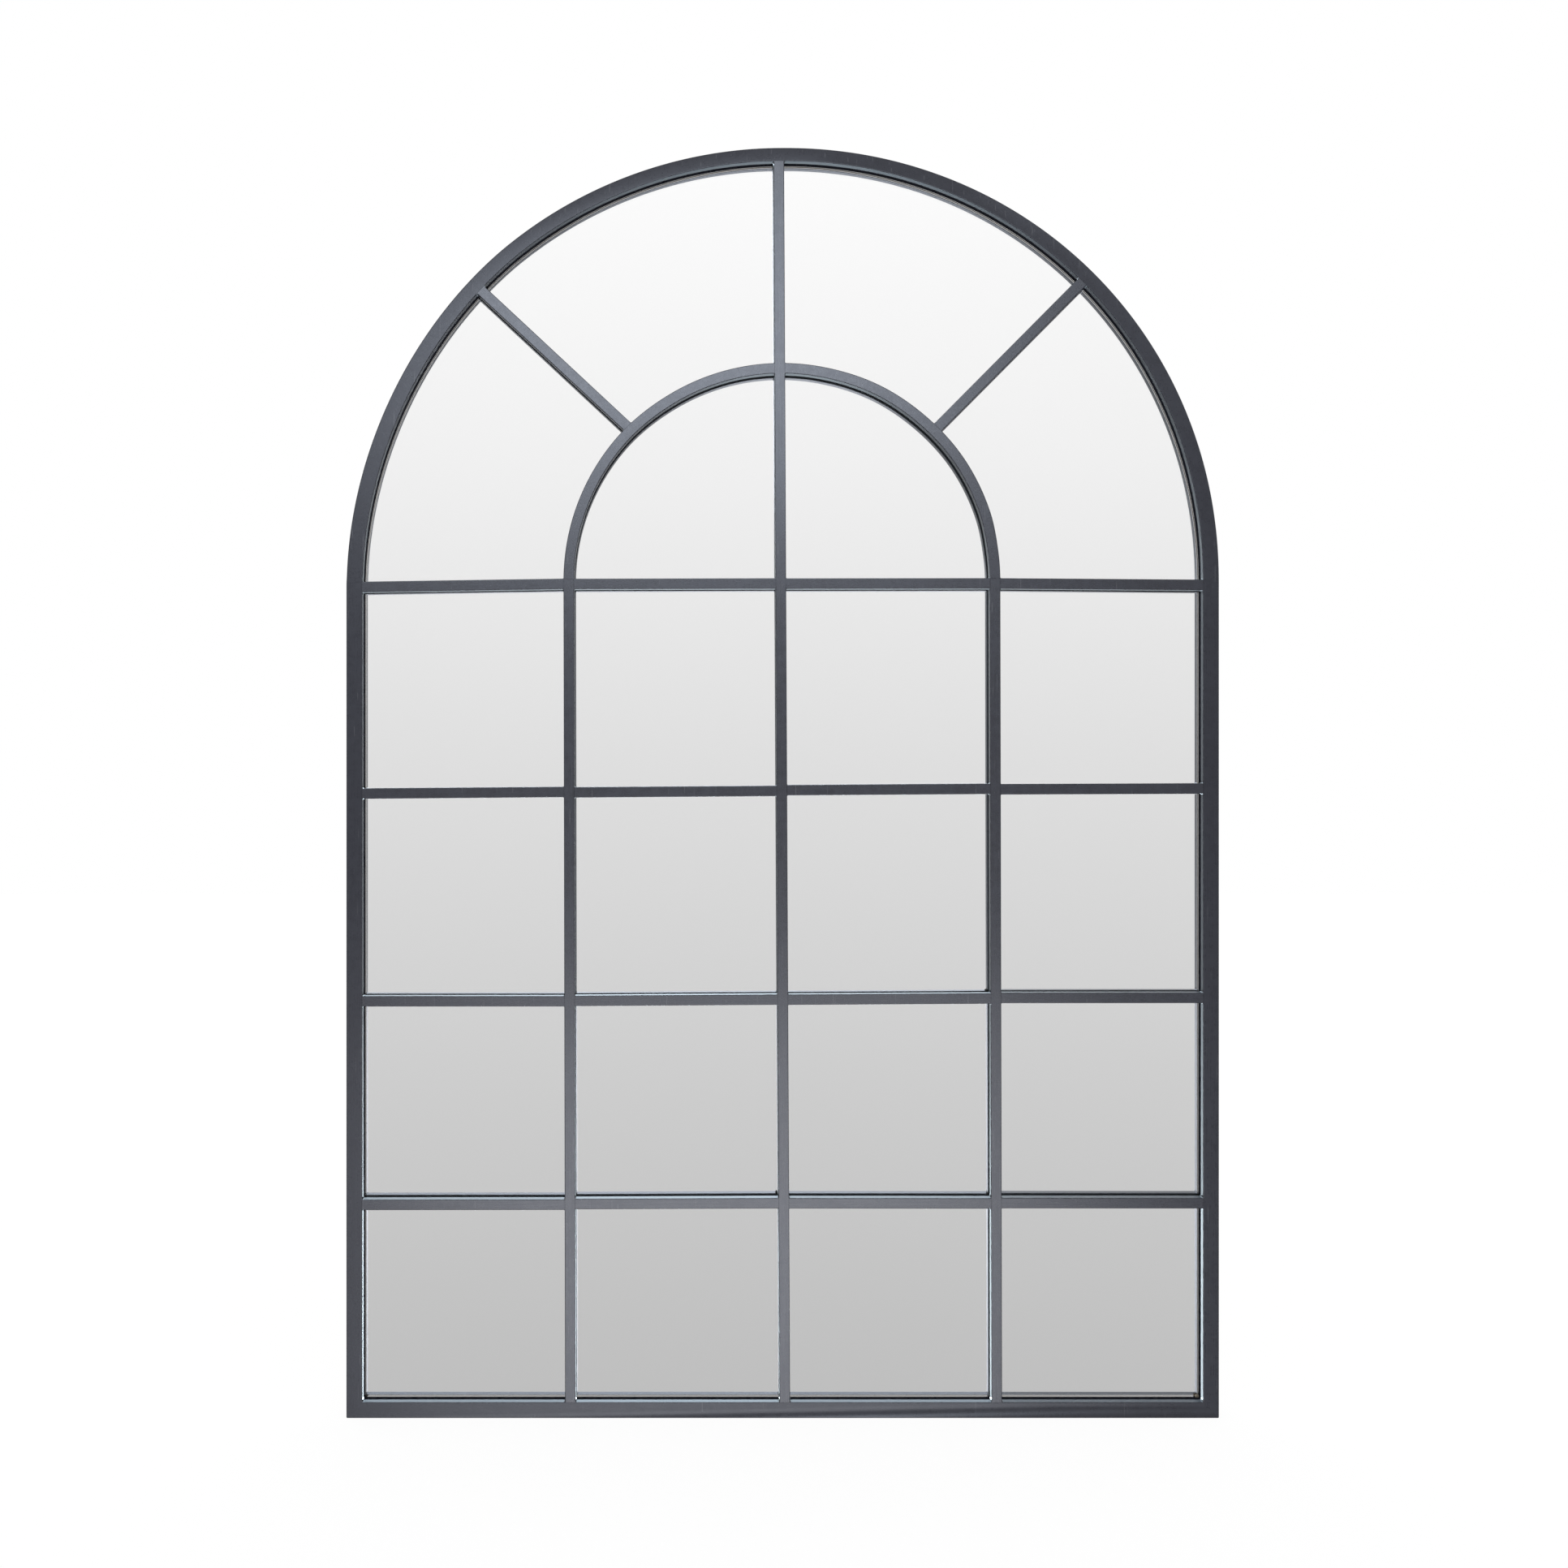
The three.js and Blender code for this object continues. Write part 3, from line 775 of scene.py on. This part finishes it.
outline = walls(1, "left") + end("quarter_left", "inner") + end("low_left", "row")
bar("left_mullion", outline + walls(0, "right", downwards=True), "up")
outline = walls(2, "left") + sides_of("mullion", "quarter_right", "high_right", "high_left", "quarter_left")
bar("centre_mullion", outline + walls(1, "right", downwards=True), "up")
outline = walls(3, "left") + end("low_right", "inner") + end("quarter_right", "row")
bar("right_mullion", outline + walls(2, "right", downwards=True), "up")
bar("inner_arch_left", sides_of("inner", "quarter_left", "high_left", "low_left"), "round")
bar("inner_arch_right", sides_of("inner", "low_right", "high_right", "quarter_right"), "round")
bar("left_spoke", sides_of("spoke", "high_left", "low_left"), "round")
bar("right_spoke", sides_of("spoke", "low_right", "high_right"), "round")


def arc(centre, radius, sense, start, finish, steps=ARCH_STEPS):
    """Vertices (point, direction) of an arc, whose direction is outwards for a sense of 1."""
    rays = [cmath.rect(1, start + (finish - start) * i / steps) for i in range(steps + 1)]
    return [(centre + radius * ray, sense * ray) for ray in rays]


OUT_LEFT, OUT_RIGHT, OUT_BOTTOM = Line(-HALF, 1), Line(HALF, -1), Line(0j, 1j)
foot_left = corner(OUT_LEFT, OUT_BOTTOM, -HALF + 0j, -CORNER)
foot_right = corner(OUT_BOTTOM, OUT_RIGHT, HALF + 0j, -CORNER)
sill_left = corner(LEFT_WALL, RAIL_TOP, complex(-OPENING, FACE), FILLET)
sill_right = corner(RAIL_TOP, RIGHT_WALL, complex(OPENING, FACE), FILLET)
seam_left, seam_right = [(complex(x, SPRING), complex(-math.copysign(1, x))) for x in (-HALF, HALF)]
seam_in_left, seam_in_right = [
    (complex(x, SPRING), complex(math.copysign(1, x))) for x in (-OPENING, OPENING)
]
outer_arch = arc(SPRING * 1j, HALF, -1, 0, math.pi)
opening_arch = arc(ARCH_CENTRE, OPENING, 1, math.pi, 0)

# Each tube ends half-way round the corners that it shares.
outline = [seam_left] + foot_left[: HALF_WAY + 1]
tube(
    "left_stile",
    outline + walls(0, "left") + end("low_left", "arch"),
    outline + sill_left[HALF_WAY::-1] + [seam_in_left],
    "up",
)
outline = foot_right[HALF_WAY:] + [seam_right]
tube(
    "right_stile",
    outline + end("low_right", "row") + walls(3, "right", downwards=True),
    outline + [seam_in_right] + sill_right[: HALF_WAY - 1 : -1],
    "up",
)
outline = foot_left[HALF_WAY:] + foot_right[: HALF_WAY + 1]
tube(
    "bottom_rail",
    outline + sides_of("bottom", (3, 0), (2, 0), (1, 0), (0, 0)),
    outline + sill_right[HALF_WAY::-1] + sill_left[: HALF_WAY - 1 : -1],
    "across",
)
tube(
    "arch_tube",
    outer_arch + sides_of("arch", "low_left", "high_left", "high_right", "low_right"),
    outer_arch + [seam_in_left] + opening_arch + [seam_in_right],
    "round",
    dished=True,
)


def loft(bm, sections):
    """A closed solid over sections that all have the same number of points."""
    rings = [[bm.verts.new(p) for p in section] for section in sections]
    skin(bm, rings)
    bm.faces.new(rings[0])
    bm.faces.new(list(reversed(rings[-1])))


# ------------ glazing

GLASS_FRONT, GLASS_BACK = 15.3, 19.2
GROUND = 0.4  # the glass's ground edges


def opening(inset, corner_radius):
    """The outline of a sheet in the opening, smaller by inset all round."""
    half = OPENING - inset
    wall_l, wall_r, floor = Line(-half, 1), Line(half, -1), Line((FACE + inset) * 1j, 1j)
    left_corner = corner(wall_l, floor, complex(-half, FACE + inset), -corner_radius)
    right_corner = corner(floor, wall_r, complex(half, FACE + inset), -corner_radius)
    return left_corner + right_corner + arc(ARCH_CENTRE, half, -1, 0, math.pi)


def add_glass():
    bm = bmesh.new()
    front = [(2 * GROUND, GLASS_FRONT), (GROUND, GLASS_FRONT), (0.0, GLASS_FRONT + GROUND)]
    back = [(0.0, GLASS_BACK - GROUND), (GROUND, GLASS_BACK)]
    _, back_face = sweep(bm, opening(1.2, 1.0), front + back)
    back_face.material_index = 1
    obj = finish_piece("mirror_pane", bm, GLASS, smooth=20.0)
    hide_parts("mirror_glass")


def add_seal():
    """A thin bead between the glass and the frame, peaked in front and behind."""
    bm = bmesh.new()
    outer, inner = opening(0.3, 1.5), opening(0.9, 1.0)
    peak = [(p + d * 0.3, d) for p, d in outer]
    section = [(outer, 15.9), (outer, 18.9), (peak, 19.3), (inner, 18.9), (inner, 15.9), (peak, 15.4)]
    rings = [[bm.verts.new(place(p, depth)) for p, _ in line] for line, depth in section]
    skin(bm, rings + rings[:1])
    obj = finish_piece("edge_seal_bead", bm, SEAL, smooth=60.0)
    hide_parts("edge_seal")


def add_board():
    bm = bmesh.new()
    profile = [(0.9, 19.3), (0.3, 19.35), (0.0, 19.7), (0.0, 23.7), (0.4, 24.2), (0.9, 24.3)]
    sweep(bm, opening(1.0, 1.5), profile)
    obj = finish_piece("fibreboard_back", bm, BOARD, smooth=20.0)
    fittings.append(obj)
    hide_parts("backing_board")


# Sealant squeezed out in the lower corners of some panes, on the right (1) or left (-1), with its half
# width and half height.
DABS = [
    ((2, 2), 1, 1.9, 1.5),
    ((1, 1), 1, 1.2, 2.6),
    ((2, 1), 1, 1.0, 1.6),
    ((3, 0), 1, 3.0, 2.2),
    ((0, 0), -1, 1.6, 1.3),
]
YELLOWED = (3, 0)
DAB_LEVELS = [(15.25, 1.0), (14.9, 0.97), (14.5, 0.8), (14.25, 0.5), (14.2, 0.2)]  # depth, share of size


def dab_mesh(centre, along, up, phase, sides=20):
    """A low drop with an uneven rim, on the glass."""
    bm = bmesh.new()
    turns = [2 * math.pi * k / sides for k in range(sides)]
    wave = [1 + 0.12 * math.sin(2 * t + phase) + 0.07 * math.cos(5 * t + 2 * phase) for t in turns]
    sections = []
    for depth, size in DAB_LEVELS:
        rim = [complex(along * math.cos(t), up * math.sin(t)) * size * w for t, w in zip(turns, wave)]
        sections.append([place(centre + p, depth) for p in rim])
    loft(bm, sections)
    return bm


def add_dabs():
    for index, (pane, where, along, up) in enumerate(DABS):
        corner_point = panes[pane].end("bottom" if where > 0 else "left")[0]
        centre = corner_point + complex(-where * (NECK * 0.4 + along * 0.8), up * 0.8)
        bm = dab_mesh(centre, along, up, index)
        material = GLUE if pane == YELLOWED else SEAL
        finish_piece(f"sealant_dab_{index + 1}", bm, material, smooth=60.0)


add_glass()
add_seal()
add_board()
add_dabs()

# ------------ fittings at the back

CLIP_SHEET = 1.2
STRAP_SHEET = 1.2
WIRE = 3.0
KNUCKLE = 3.1  # outer radius of the strap's fold
BORE = 1.9
STRAP_FACE = 2 * STRAP_SHEET - KNUCKLE  # the strap's outer face, from the ring's axis
HANGER_Z = 965.0
TUBE_MIDDLE = OPENING + FACE / 2


def arch_spot(degrees):
    """The middle of the arch tube at an angle."""
    ray = cmath.rect(1, math.radians(degrees))
    return ray * (OPENING + LIFT * ray.imag + HALF) / 2 + SPRING * 1j


def put(bm, spot, depth, turn=1 + 0j):
    """Moves a mesh drawn as (along, depth, across) to a spot, its along axis turned to a direction."""
    along = Vector((turn.real, 0, turn.imag))
    across = Vector((-turn.imag, 0, turn.real))
    matrix = Matrix((along, Vector((0, 1, 0)), across)).transposed().to_4x4()
    matrix.translation = place(spot, depth)
    bmesh.ops.transform(bm, matrix=matrix, verts=bm.verts)


def around(angle, radius, depth):
    """A point about the depth axis."""
    return Vector((radius * math.cos(angle) * MM, depth * MM, radius * math.sin(angle) * MM))


def add_fitting(name, look, bm, material, body="mirror", smooth=35.0):
    obj = finish_piece(f"{name}_{look}", bm, material, body=body, smooth=smooth)
    fittings.append(obj)
    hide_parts(name)


def clip_mesh():
    """A pressed strip that steps down from the tube to the board, with rounded corners."""
    bm = bmesh.new()
    heel, toe, half, corner_r, edge = -4.0, 22.0, 6.0, 2.5, 0.22
    drop, drop_from, drop_length = 0.7, 10.0, 2.2
    lift = 0.02  # keeps the strip's underside clear of the tube's paint
    quarter = [corner_r * (1 - math.cos(math.pi / 2 * i / 6)) for i in range(7)]
    bend = [9.0 + 0.4 * i for i in range(11)]
    sections = []
    for u in sorted([heel + q for q in quarter] + [toe - q for q in quarter] + bend + [0.0, 5.0]):
        reach = min(u - heel, toe - u, corner_r)
        width = half - corner_r + math.sqrt(max(corner_r**2 - (corner_r - reach) ** 2, 0.01))
        low = -drop * smoothstep((u - drop_from) / drop_length) + (lift if u < drop_from else 0.0)
        high = low + CLIP_SHEET
        right = [(width - edge, low), (width, low + edge), (width, high - edge), (width - edge, high)]
        left = [(-w, d) for w, d in reversed(right)]
        section = left[-1:] + right + left[:-1]
        sections.append([Vector((u * MM, d * MM, w * MM)) for w, d in section])
    loft(bm, sections)
    return bm


def screw_mesh():
    """A pan head with a cross recess, its underside at depth 0, and the shank below it."""
    bm = bmesh.new()
    arm, long_arm = 0.5, 2.15  # half width and length of the recess's arms
    notch = math.atan(arm / long_arm)
    quarter = [0.0, notch * 0.5, notch, math.radians(22), math.radians(34), math.radians(45)]
    angles = []
    for q in range(4):
        base = q * math.pi / 2
        angles += [base + a for a in quarter] + [base + math.pi / 2 - a for a in reversed(quarter[1:-1])]

    def cross(angle):
        slant = abs((angle + math.pi / 4) % (math.pi / 2) - math.pi / 4)
        return long_arm / math.cos(slant) if slant <= notch + 1e-9 else arm / math.sin(slant)

    recess = [cross(a) for a in angles]
    rings = [
        [(0.3 * r, 0.75) for r in recess],
        [(0.88 * r, 1.15 if r > 1.2 else 0.95) for r in recess],
        [(r, 1.97 - 0.012 * r**2) for r in recess],
        [(max(r + 0.12, 2.3), 1.9) for r in recess],
    ]
    head = [(2.75, 1.78), (3.15, 1.5), (3.4, 1.08), (3.5, 0.6), (3.5, 0.12), (3.42, 0.02)]
    shank = [(1.75, 0.0), (1.75, -7.3), (0.3, -8.9)]
    rings += [[point] * len(angles) for point in head + shank]
    loft(bm, [[around(a, r, d) for a, (r, d) in zip(angles, points)] for points in rings])
    return bm


def add_screw(name, spot, depth, turn):
    bm = screw_mesh()
    put(bm, spot, depth, turn)
    add_fitting(name, "pan_head", bm, ZINC, smooth=38.0)


def add_clips():
    low, high, off_centre = 330, SPRING - 352, 300
    spots = [(complex(-s * TUBE_MIDDLE, z), complex(s)) for z in (low, high) for s in (1, -1)]
    spots += [(complex(x, FACE / 2), 1j) for x in (-off_centre, off_centre)]
    spots += [(arch_spot(degrees), -cmath.rect(1, math.radians(degrees))) for degrees in (60, 120)]
    for index, (spot, inward) in enumerate(spots):
        bm = clip_mesh()
        put(bm, spot, FRAME_BACK, inward)
        add_fitting(f"clip_{index + 1}", "pressed", bm, ZINC)
        turn = cmath.rect(1, 0.7 + 1.9 * index)
        add_screw(f"clip_screw_{index + 1}", spot, FRAME_BACK + CLIP_SHEET, turn)


def strap_mesh():
    """A strip folded round the ring's axis, drawn as an outline of points depth + z*1j from that axis."""
    bm = bmesh.new()
    length, half, bevel, end_r = 50.0, 6.0, 0.2, 3.2
    gap = 0.05  # half the room between the two leaves
    tip = [-length + end_r * (1 - math.sin(math.pi / 2 * i / 5)) for i in range(6)]
    down = [-6.0, -15.0, -30.0, -44.0] + tip
    stop = -math.acos(STRAP_FACE / KNUCKLE)
    outline = [complex(-KNUCKLE, z) for z in reversed(down)]
    outline += [cmath.rect(KNUCKLE, math.pi + (stop - math.pi) * i / 28) for i in range(29)]
    outline += [complex(STRAP_FACE, z) for z in down]
    outline += [complex(-BORE + gap, z) for z in reversed(down)]
    outline += [cmath.rect(BORE, math.radians(-168 + 342 * i / 28)) for i in range(29)]
    outline += [complex(-BORE - gap, z) for z in down]
    normals = []
    for i, p in enumerate(outline):
        before, after = p - outline[i - 1], outline[(i + 1) % len(outline)] - p
        normals.append(unit(unit(before) + unit(after)) * 1j)
    sections = []
    for inset, x in ((bevel, -1.0), (0.0, -1.0), (0.0, 1.0), (bevel, 1.0)):
        section = []
        for p, n in zip(outline, normals):
            low = max(0.0, -(p.imag + length - end_r))
            width = half - end_r + math.sqrt(max(end_r**2 - low**2, 0.05))
            width -= bevel if inset == 0.0 else 0.0
            q = p - n * inset
            section.append((x * width * MM, q.real * MM, q.imag * MM))
        sections.append(section)
    loft(bm, sections)
    return bm


def ring_mesh(sides=20):
    """The D ring's wire, hanging from its bar and leaning on the strap."""
    bm = bmesh.new()
    half, bend, drop = (14.0 + WIRE) / 2, 2.2, 8.0
    straight = half - bend
    path = [complex(straight, -bend) + cmath.rect(bend, math.pi / 2 * (1 - i / 8)) for i in range(9)]
    path += [-1j * drop + cmath.rect(half, -math.pi * i / 40) for i in range(41)]
    path += [complex(-straight, -bend) + cmath.rect(bend, math.pi - math.pi / 2 * i / 8) for i in range(9)]
    path += [complex(-straight + 2 * straight * i / 6, 0) for i in range(1, 6)]
    clearance = 0.3
    lean = Matrix.Rotation(math.asin((STRAP_FACE + clearance + WIRE / 2) / (drop + half)), 4, "X")
    rings = []
    for i, p in enumerate(path):
        arriving, leaving = unit(p - path[i - 1]), unit(path[(i + 1) % len(path)] - p)
        tangent = unit(arriving + leaving)
        mitre = 1 / dot(tangent, leaving)
        ring = []
        for k in range(sides):
            turn = (k + 0.5) / sides * 2 * math.pi
            q = p + tangent * 1j * (WIRE / 2 * math.cos(turn) * mitre)
            ring.append(bm.verts.new((q.real * MM, WIRE / 2 * math.sin(turn) * MM, q.imag * MM)))
        rings.append(ring)
    for near, far in zip(rings, rings[1:] + rings[:1]):
        for k in range(sides):
            j = (k + 1) % sides
            bm.faces.new((near[k], far[k], far[j], near[j]))
    bmesh.ops.transform(bm, matrix=lean, verts=bm.verts)
    return bm


def add_hanger(name, sign):
    axis = complex(sign * TUBE_MIDDLE, HANGER_Z)
    bm = strap_mesh()
    put(bm, axis, FRAME_BACK + KNUCKLE)
    add_fitting(f"{name}_hanger_strap", "folded", bm, ZINC)
    bm = ring_mesh()
    put(bm, axis, FRAME_BACK + KNUCKLE)
    add_fitting(f"{name}_hanger_ring", "wire", bm, ZINC, body=f"{name}_ring")
    for index, drop in enumerate((25, 42)):
        turn = cmath.rect(1, 0.4 + 1.3 * index + sign)
        depth = FRAME_BACK + 2 * STRAP_SHEET
        add_screw(f"{name}_hanger_screw_{index + 1}", axis - drop * 1j, depth, turn)


def bumper_mesh(sides=40):
    """A moulded stud with a rounded rim and a shallow ring groove in its wall face."""
    bm = bmesh.new()
    radius, height, crown = 6.5, 7.0, 2.0
    groove, floor = [2.6, 2.45, 1.95, 1.8], height - 0.35
    profile = [(radius - 0.3, 0.0), (radius, 0.3)]
    for i in range(9):
        t = math.pi / 2 * i / 8
        profile.append((radius - crown + crown * math.cos(t), height - crown + crown * math.sin(t)))
    profile += zip(groove, (height, floor, floor, height))
    angles = [2 * math.pi * i / sides for i in range(sides)]
    loft(bm, [[around(a, r, d) for a in angles] for r, d in profile])
    return bm


def add_bumpers():
    for name, spot in (
        ("lower_left_bumper", complex(-HALF + 34, FACE / 2)),
        ("lower_right_bumper", complex(HALF - 34, FACE / 2)),
        ("upper_left_bumper", arch_spot(142)),
        ("upper_right_bumper", arch_spot(38)),
    ):
        bm = bumper_mesh()
        put(bm, spot, FRAME_BACK)
        add_fitting(name, "moulded", bm, RUBBER)


add_clips()
add_hanger("left", -1)
add_hanger("right", 1)
add_bumpers()

# ------------ floor and surroundings

FLOOR_HALF = 9.0
FLOOR_BELOW = 0.0003  # under the object's lowest face
FLOOR_GLOW = 1.04  # white where the camera sees it
GLOW_SHARE = 0.9  # the rest shows the object's shadow
EVEN = 0.9  # brightness of the surroundings for matt surfaces
# Brightness of the pale sweep in the mirror, against the height of the direction's unit vector.
REFLECTED = [(-0.36, 0.524), (-0.29, 0.56), (-0.175, 0.626), (0.007, 0.747), (0.19, 0.89), (0.35, 0.992)]
RAMP_ZERO = 0.5  # place of height 0 on the colour ramp


def floor_material():
    material = bpy.data.materials.new("floor")
    t = Tree(material)
    t.tree.nodes.clear()
    diffuse = t.add("ShaderNodeBsdfDiffuse")
    diffuse.inputs["Color"].default_value = (0.8, 0.8, 0.8, 1)
    glow = t.add("ShaderNodeEmission")
    glow.inputs["Strength"].default_value = FLOOR_GLOW
    rays = t.add("ShaderNodeLightPath")
    share = t.add("ShaderNodeMath", operation="MULTIPLY")
    share.inputs[1].default_value = GLOW_SHARE
    mix = t.add("ShaderNodeMixShader")
    out = t.add("ShaderNodeOutputMaterial")
    t.link(rays.outputs["Is Camera Ray"], share.inputs[0])
    t.link(share.outputs[0], mix.inputs[0])
    t.link(diffuse.outputs[0], mix.inputs[1])
    t.link(glow.outputs[0], mix.inputs[2])
    t.link(mix.outputs[0], out.inputs["Surface"])
    return material


def floor_plane():
    bm = bmesh.new()
    corners = [(FLOOR_HALF * x, FLOOR_HALF * y) for x, y in ((-1, -1), (1, -1), (1, 1), (-1, 1))]
    bm.faces.new([bm.verts.new((x, y, -FLOOR_BELOW)) for x, y in corners])
    mesh = bpy.data.meshes.new("floor")
    bm.to_mesh(mesh)
    bm.free()
    obj = bpy.data.objects.new("floor", mesh)
    bpy.context.scene.collection.objects.link(obj)
    mesh.materials.append(floor_material())
    obj.visible_glossy = False
    obj.visible_transmission = False
    obj.visible_shadow = False


def studio_world():
    """White to the camera, an even light, and in the mirror a pale sweep that darkens downwards."""
    world = bpy.data.worlds.new("studio")
    bpy.context.scene.world = world
    t = Tree(world)
    t.tree.nodes.clear()
    direction = t.add("ShaderNodeTexCoord")
    parts = t.add("ShaderNodeSeparateXYZ")
    t.link(direction.outputs["Generated"], parts.inputs[0])
    spread = t.add("ShaderNodeMapRange")
    spread.inputs["From Min"].default_value = -RAMP_ZERO
    spread.inputs["From Max"].default_value = 1 - RAMP_ZERO
    t.link(parts.outputs["Z"], spread.inputs["Value"])
    ramp = t.add("ShaderNodeValToRGB")
    t.link(spread.outputs["Result"], ramp.inputs["Fac"])
    steps = ramp.color_ramp.elements
    for z, _ in REFLECTED[1:-1]:
        steps.new(z + RAMP_ZERO)
    for element, (z, value) in zip(steps, REFLECTED):
        element.position = z + RAMP_ZERO
        element.color = (value, value, value, 1)
    rays = t.add("ShaderNodeLightPath")
    sharp = t.add("ShaderNodeMath", operation="MAXIMUM")
    t.link(rays.outputs["Is Glossy Ray"], sharp.inputs[0])
    t.link(rays.outputs["Is Transmission Ray"], sharp.inputs[1])
    even = t.add("ShaderNodeMix", data_type="RGBA")
    even.inputs[MIX_A].default_value = (EVEN, EVEN, EVEN, 1)
    t.link(sharp.outputs[0], even.inputs[0])
    t.link(ramp.outputs["Color"], even.inputs[MIX_B])
    seen = t.add("ShaderNodeMix", data_type="RGBA")
    seen.inputs[MIX_B].default_value = (1, 1, 1, 1)
    t.link(rays.outputs["Is Camera Ray"], seen.inputs[0])
    t.link(even.outputs[MIX_RESULT], seen.inputs[MIX_A])
    shade = t.add("ShaderNodeBackground")
    t.link(seen.outputs[MIX_RESULT], shade.inputs["Color"])
    out = t.add("ShaderNodeOutputWorld")
    t.link(shade.outputs[0], out.inputs["Surface"])


floor_plane()
studio_world()

# ------------ lamps


def group(name, pieces):
    collection = bpy.data.collections.new(name)
    for obj in pieces:
        collection.objects.link(obj)
    return collection


def soft_lamp(name, centre, target, size, power, colour, receivers, blockers=None):
    data = bpy.data.lights.new(name, "AREA")
    data.shape = "RECTANGLE"
    data.size, data.size_y = size
    data.energy = power
    data.color = colour
    obj = bpy.data.objects.new(name, data)
    bpy.context.scene.collection.objects.link(obj)
    obj.location = centre
    obj.rotation_euler = (Vector(target) - Vector(centre)).to_track_quat("-Z", "Y").to_euler()
    obj.light_linking.receiver_collection = receivers
    if blockers:
        obj.light_linking.blocker_collection = blockers


curved = ("spring_row", "inner_arch", "arch_tube", "left_spoke", "right_spoke")
upper = group("painted_upper", [obj for obj in painted if obj.name.startswith(curved)])
lower = group("painted_lower", [obj for obj in painted if not obj.name.startswith(curved)])
front = group("painted_front", painted)
metal = group("painted_all", painted + rear_painted)
back = group("back", rear_painted + fittings)

# The mirrored lamps stand where the glass shows the front ones, and light the sides of the bars that the
# glass would light.
HIGH, LOW = (-0.14, 0, 1.4), (-0.07, 0, 0.2)
COOL, COOLER = (0.88, 0.91, 1.0), (0.78, 0.86, 1.0)
PALE_BLUE, BLUE = (0.80, 0.93, 1.0), (0.76, 0.90, 1.0)
WARM, DAYLIGHT = (1.0, 0.98, 0.95), (0.92, 0.96, 1.0)
soft_lamp("upper_front", (-0.22, -4, 2.48), HIGH, (2.3, 1.25), 84.5, COOLER, metal, metal)
soft_lamp("lower_front", (0, -4, -0.96), LOW, (2.5, 1.8), 84.0, COOL, metal, metal)
soft_lamp("upper_mirrored", (-0.2, 4, 2.5), HIGH, (2.0, 1.1), 210.0, BLUE, front, front)
soft_lamp("lower_mirrored", (0, 4, -1.4), LOW, (2.5, 1.1), 600.0, PALE_BLUE, lower, front)
soft_lamp("arch_mirrored", (0, 4, -1.4), LOW, (2.5, 1.1), 170.0, PALE_BLUE, upper, front)
soft_lamp("back_key", (1.3, 3.2, 2.6), (0, 0, 0.9), (1.6, 1.6), 36.0, WARM, back)
soft_lamp("back_fill", (-2.2, 2.6, 0.7), (0, 0, 0.7), (1.6, 1.6), 16.0, DAYLIGHT, back)

# ------------ camera

camera_data = bpy.data.cameras.new("camera")
camera_data.sensor_width = 36.0
camera_data.lens = 37.342
camera_data.shift_x = 0.056
camera_data.shift_y = -0.0059
camera_data.clip_start = 0.05
camera = bpy.data.objects.new("camera", camera_data)
camera.location = (-0.109, -2.066, 0.811)
camera.rotation_euler = (math.pi / 2, 0, 0)
bpy.context.scene.collection.objects.link(camera)
bpy.context.scene.camera = camera
bpy.context.scene.view_settings.view_transform = "Standard"
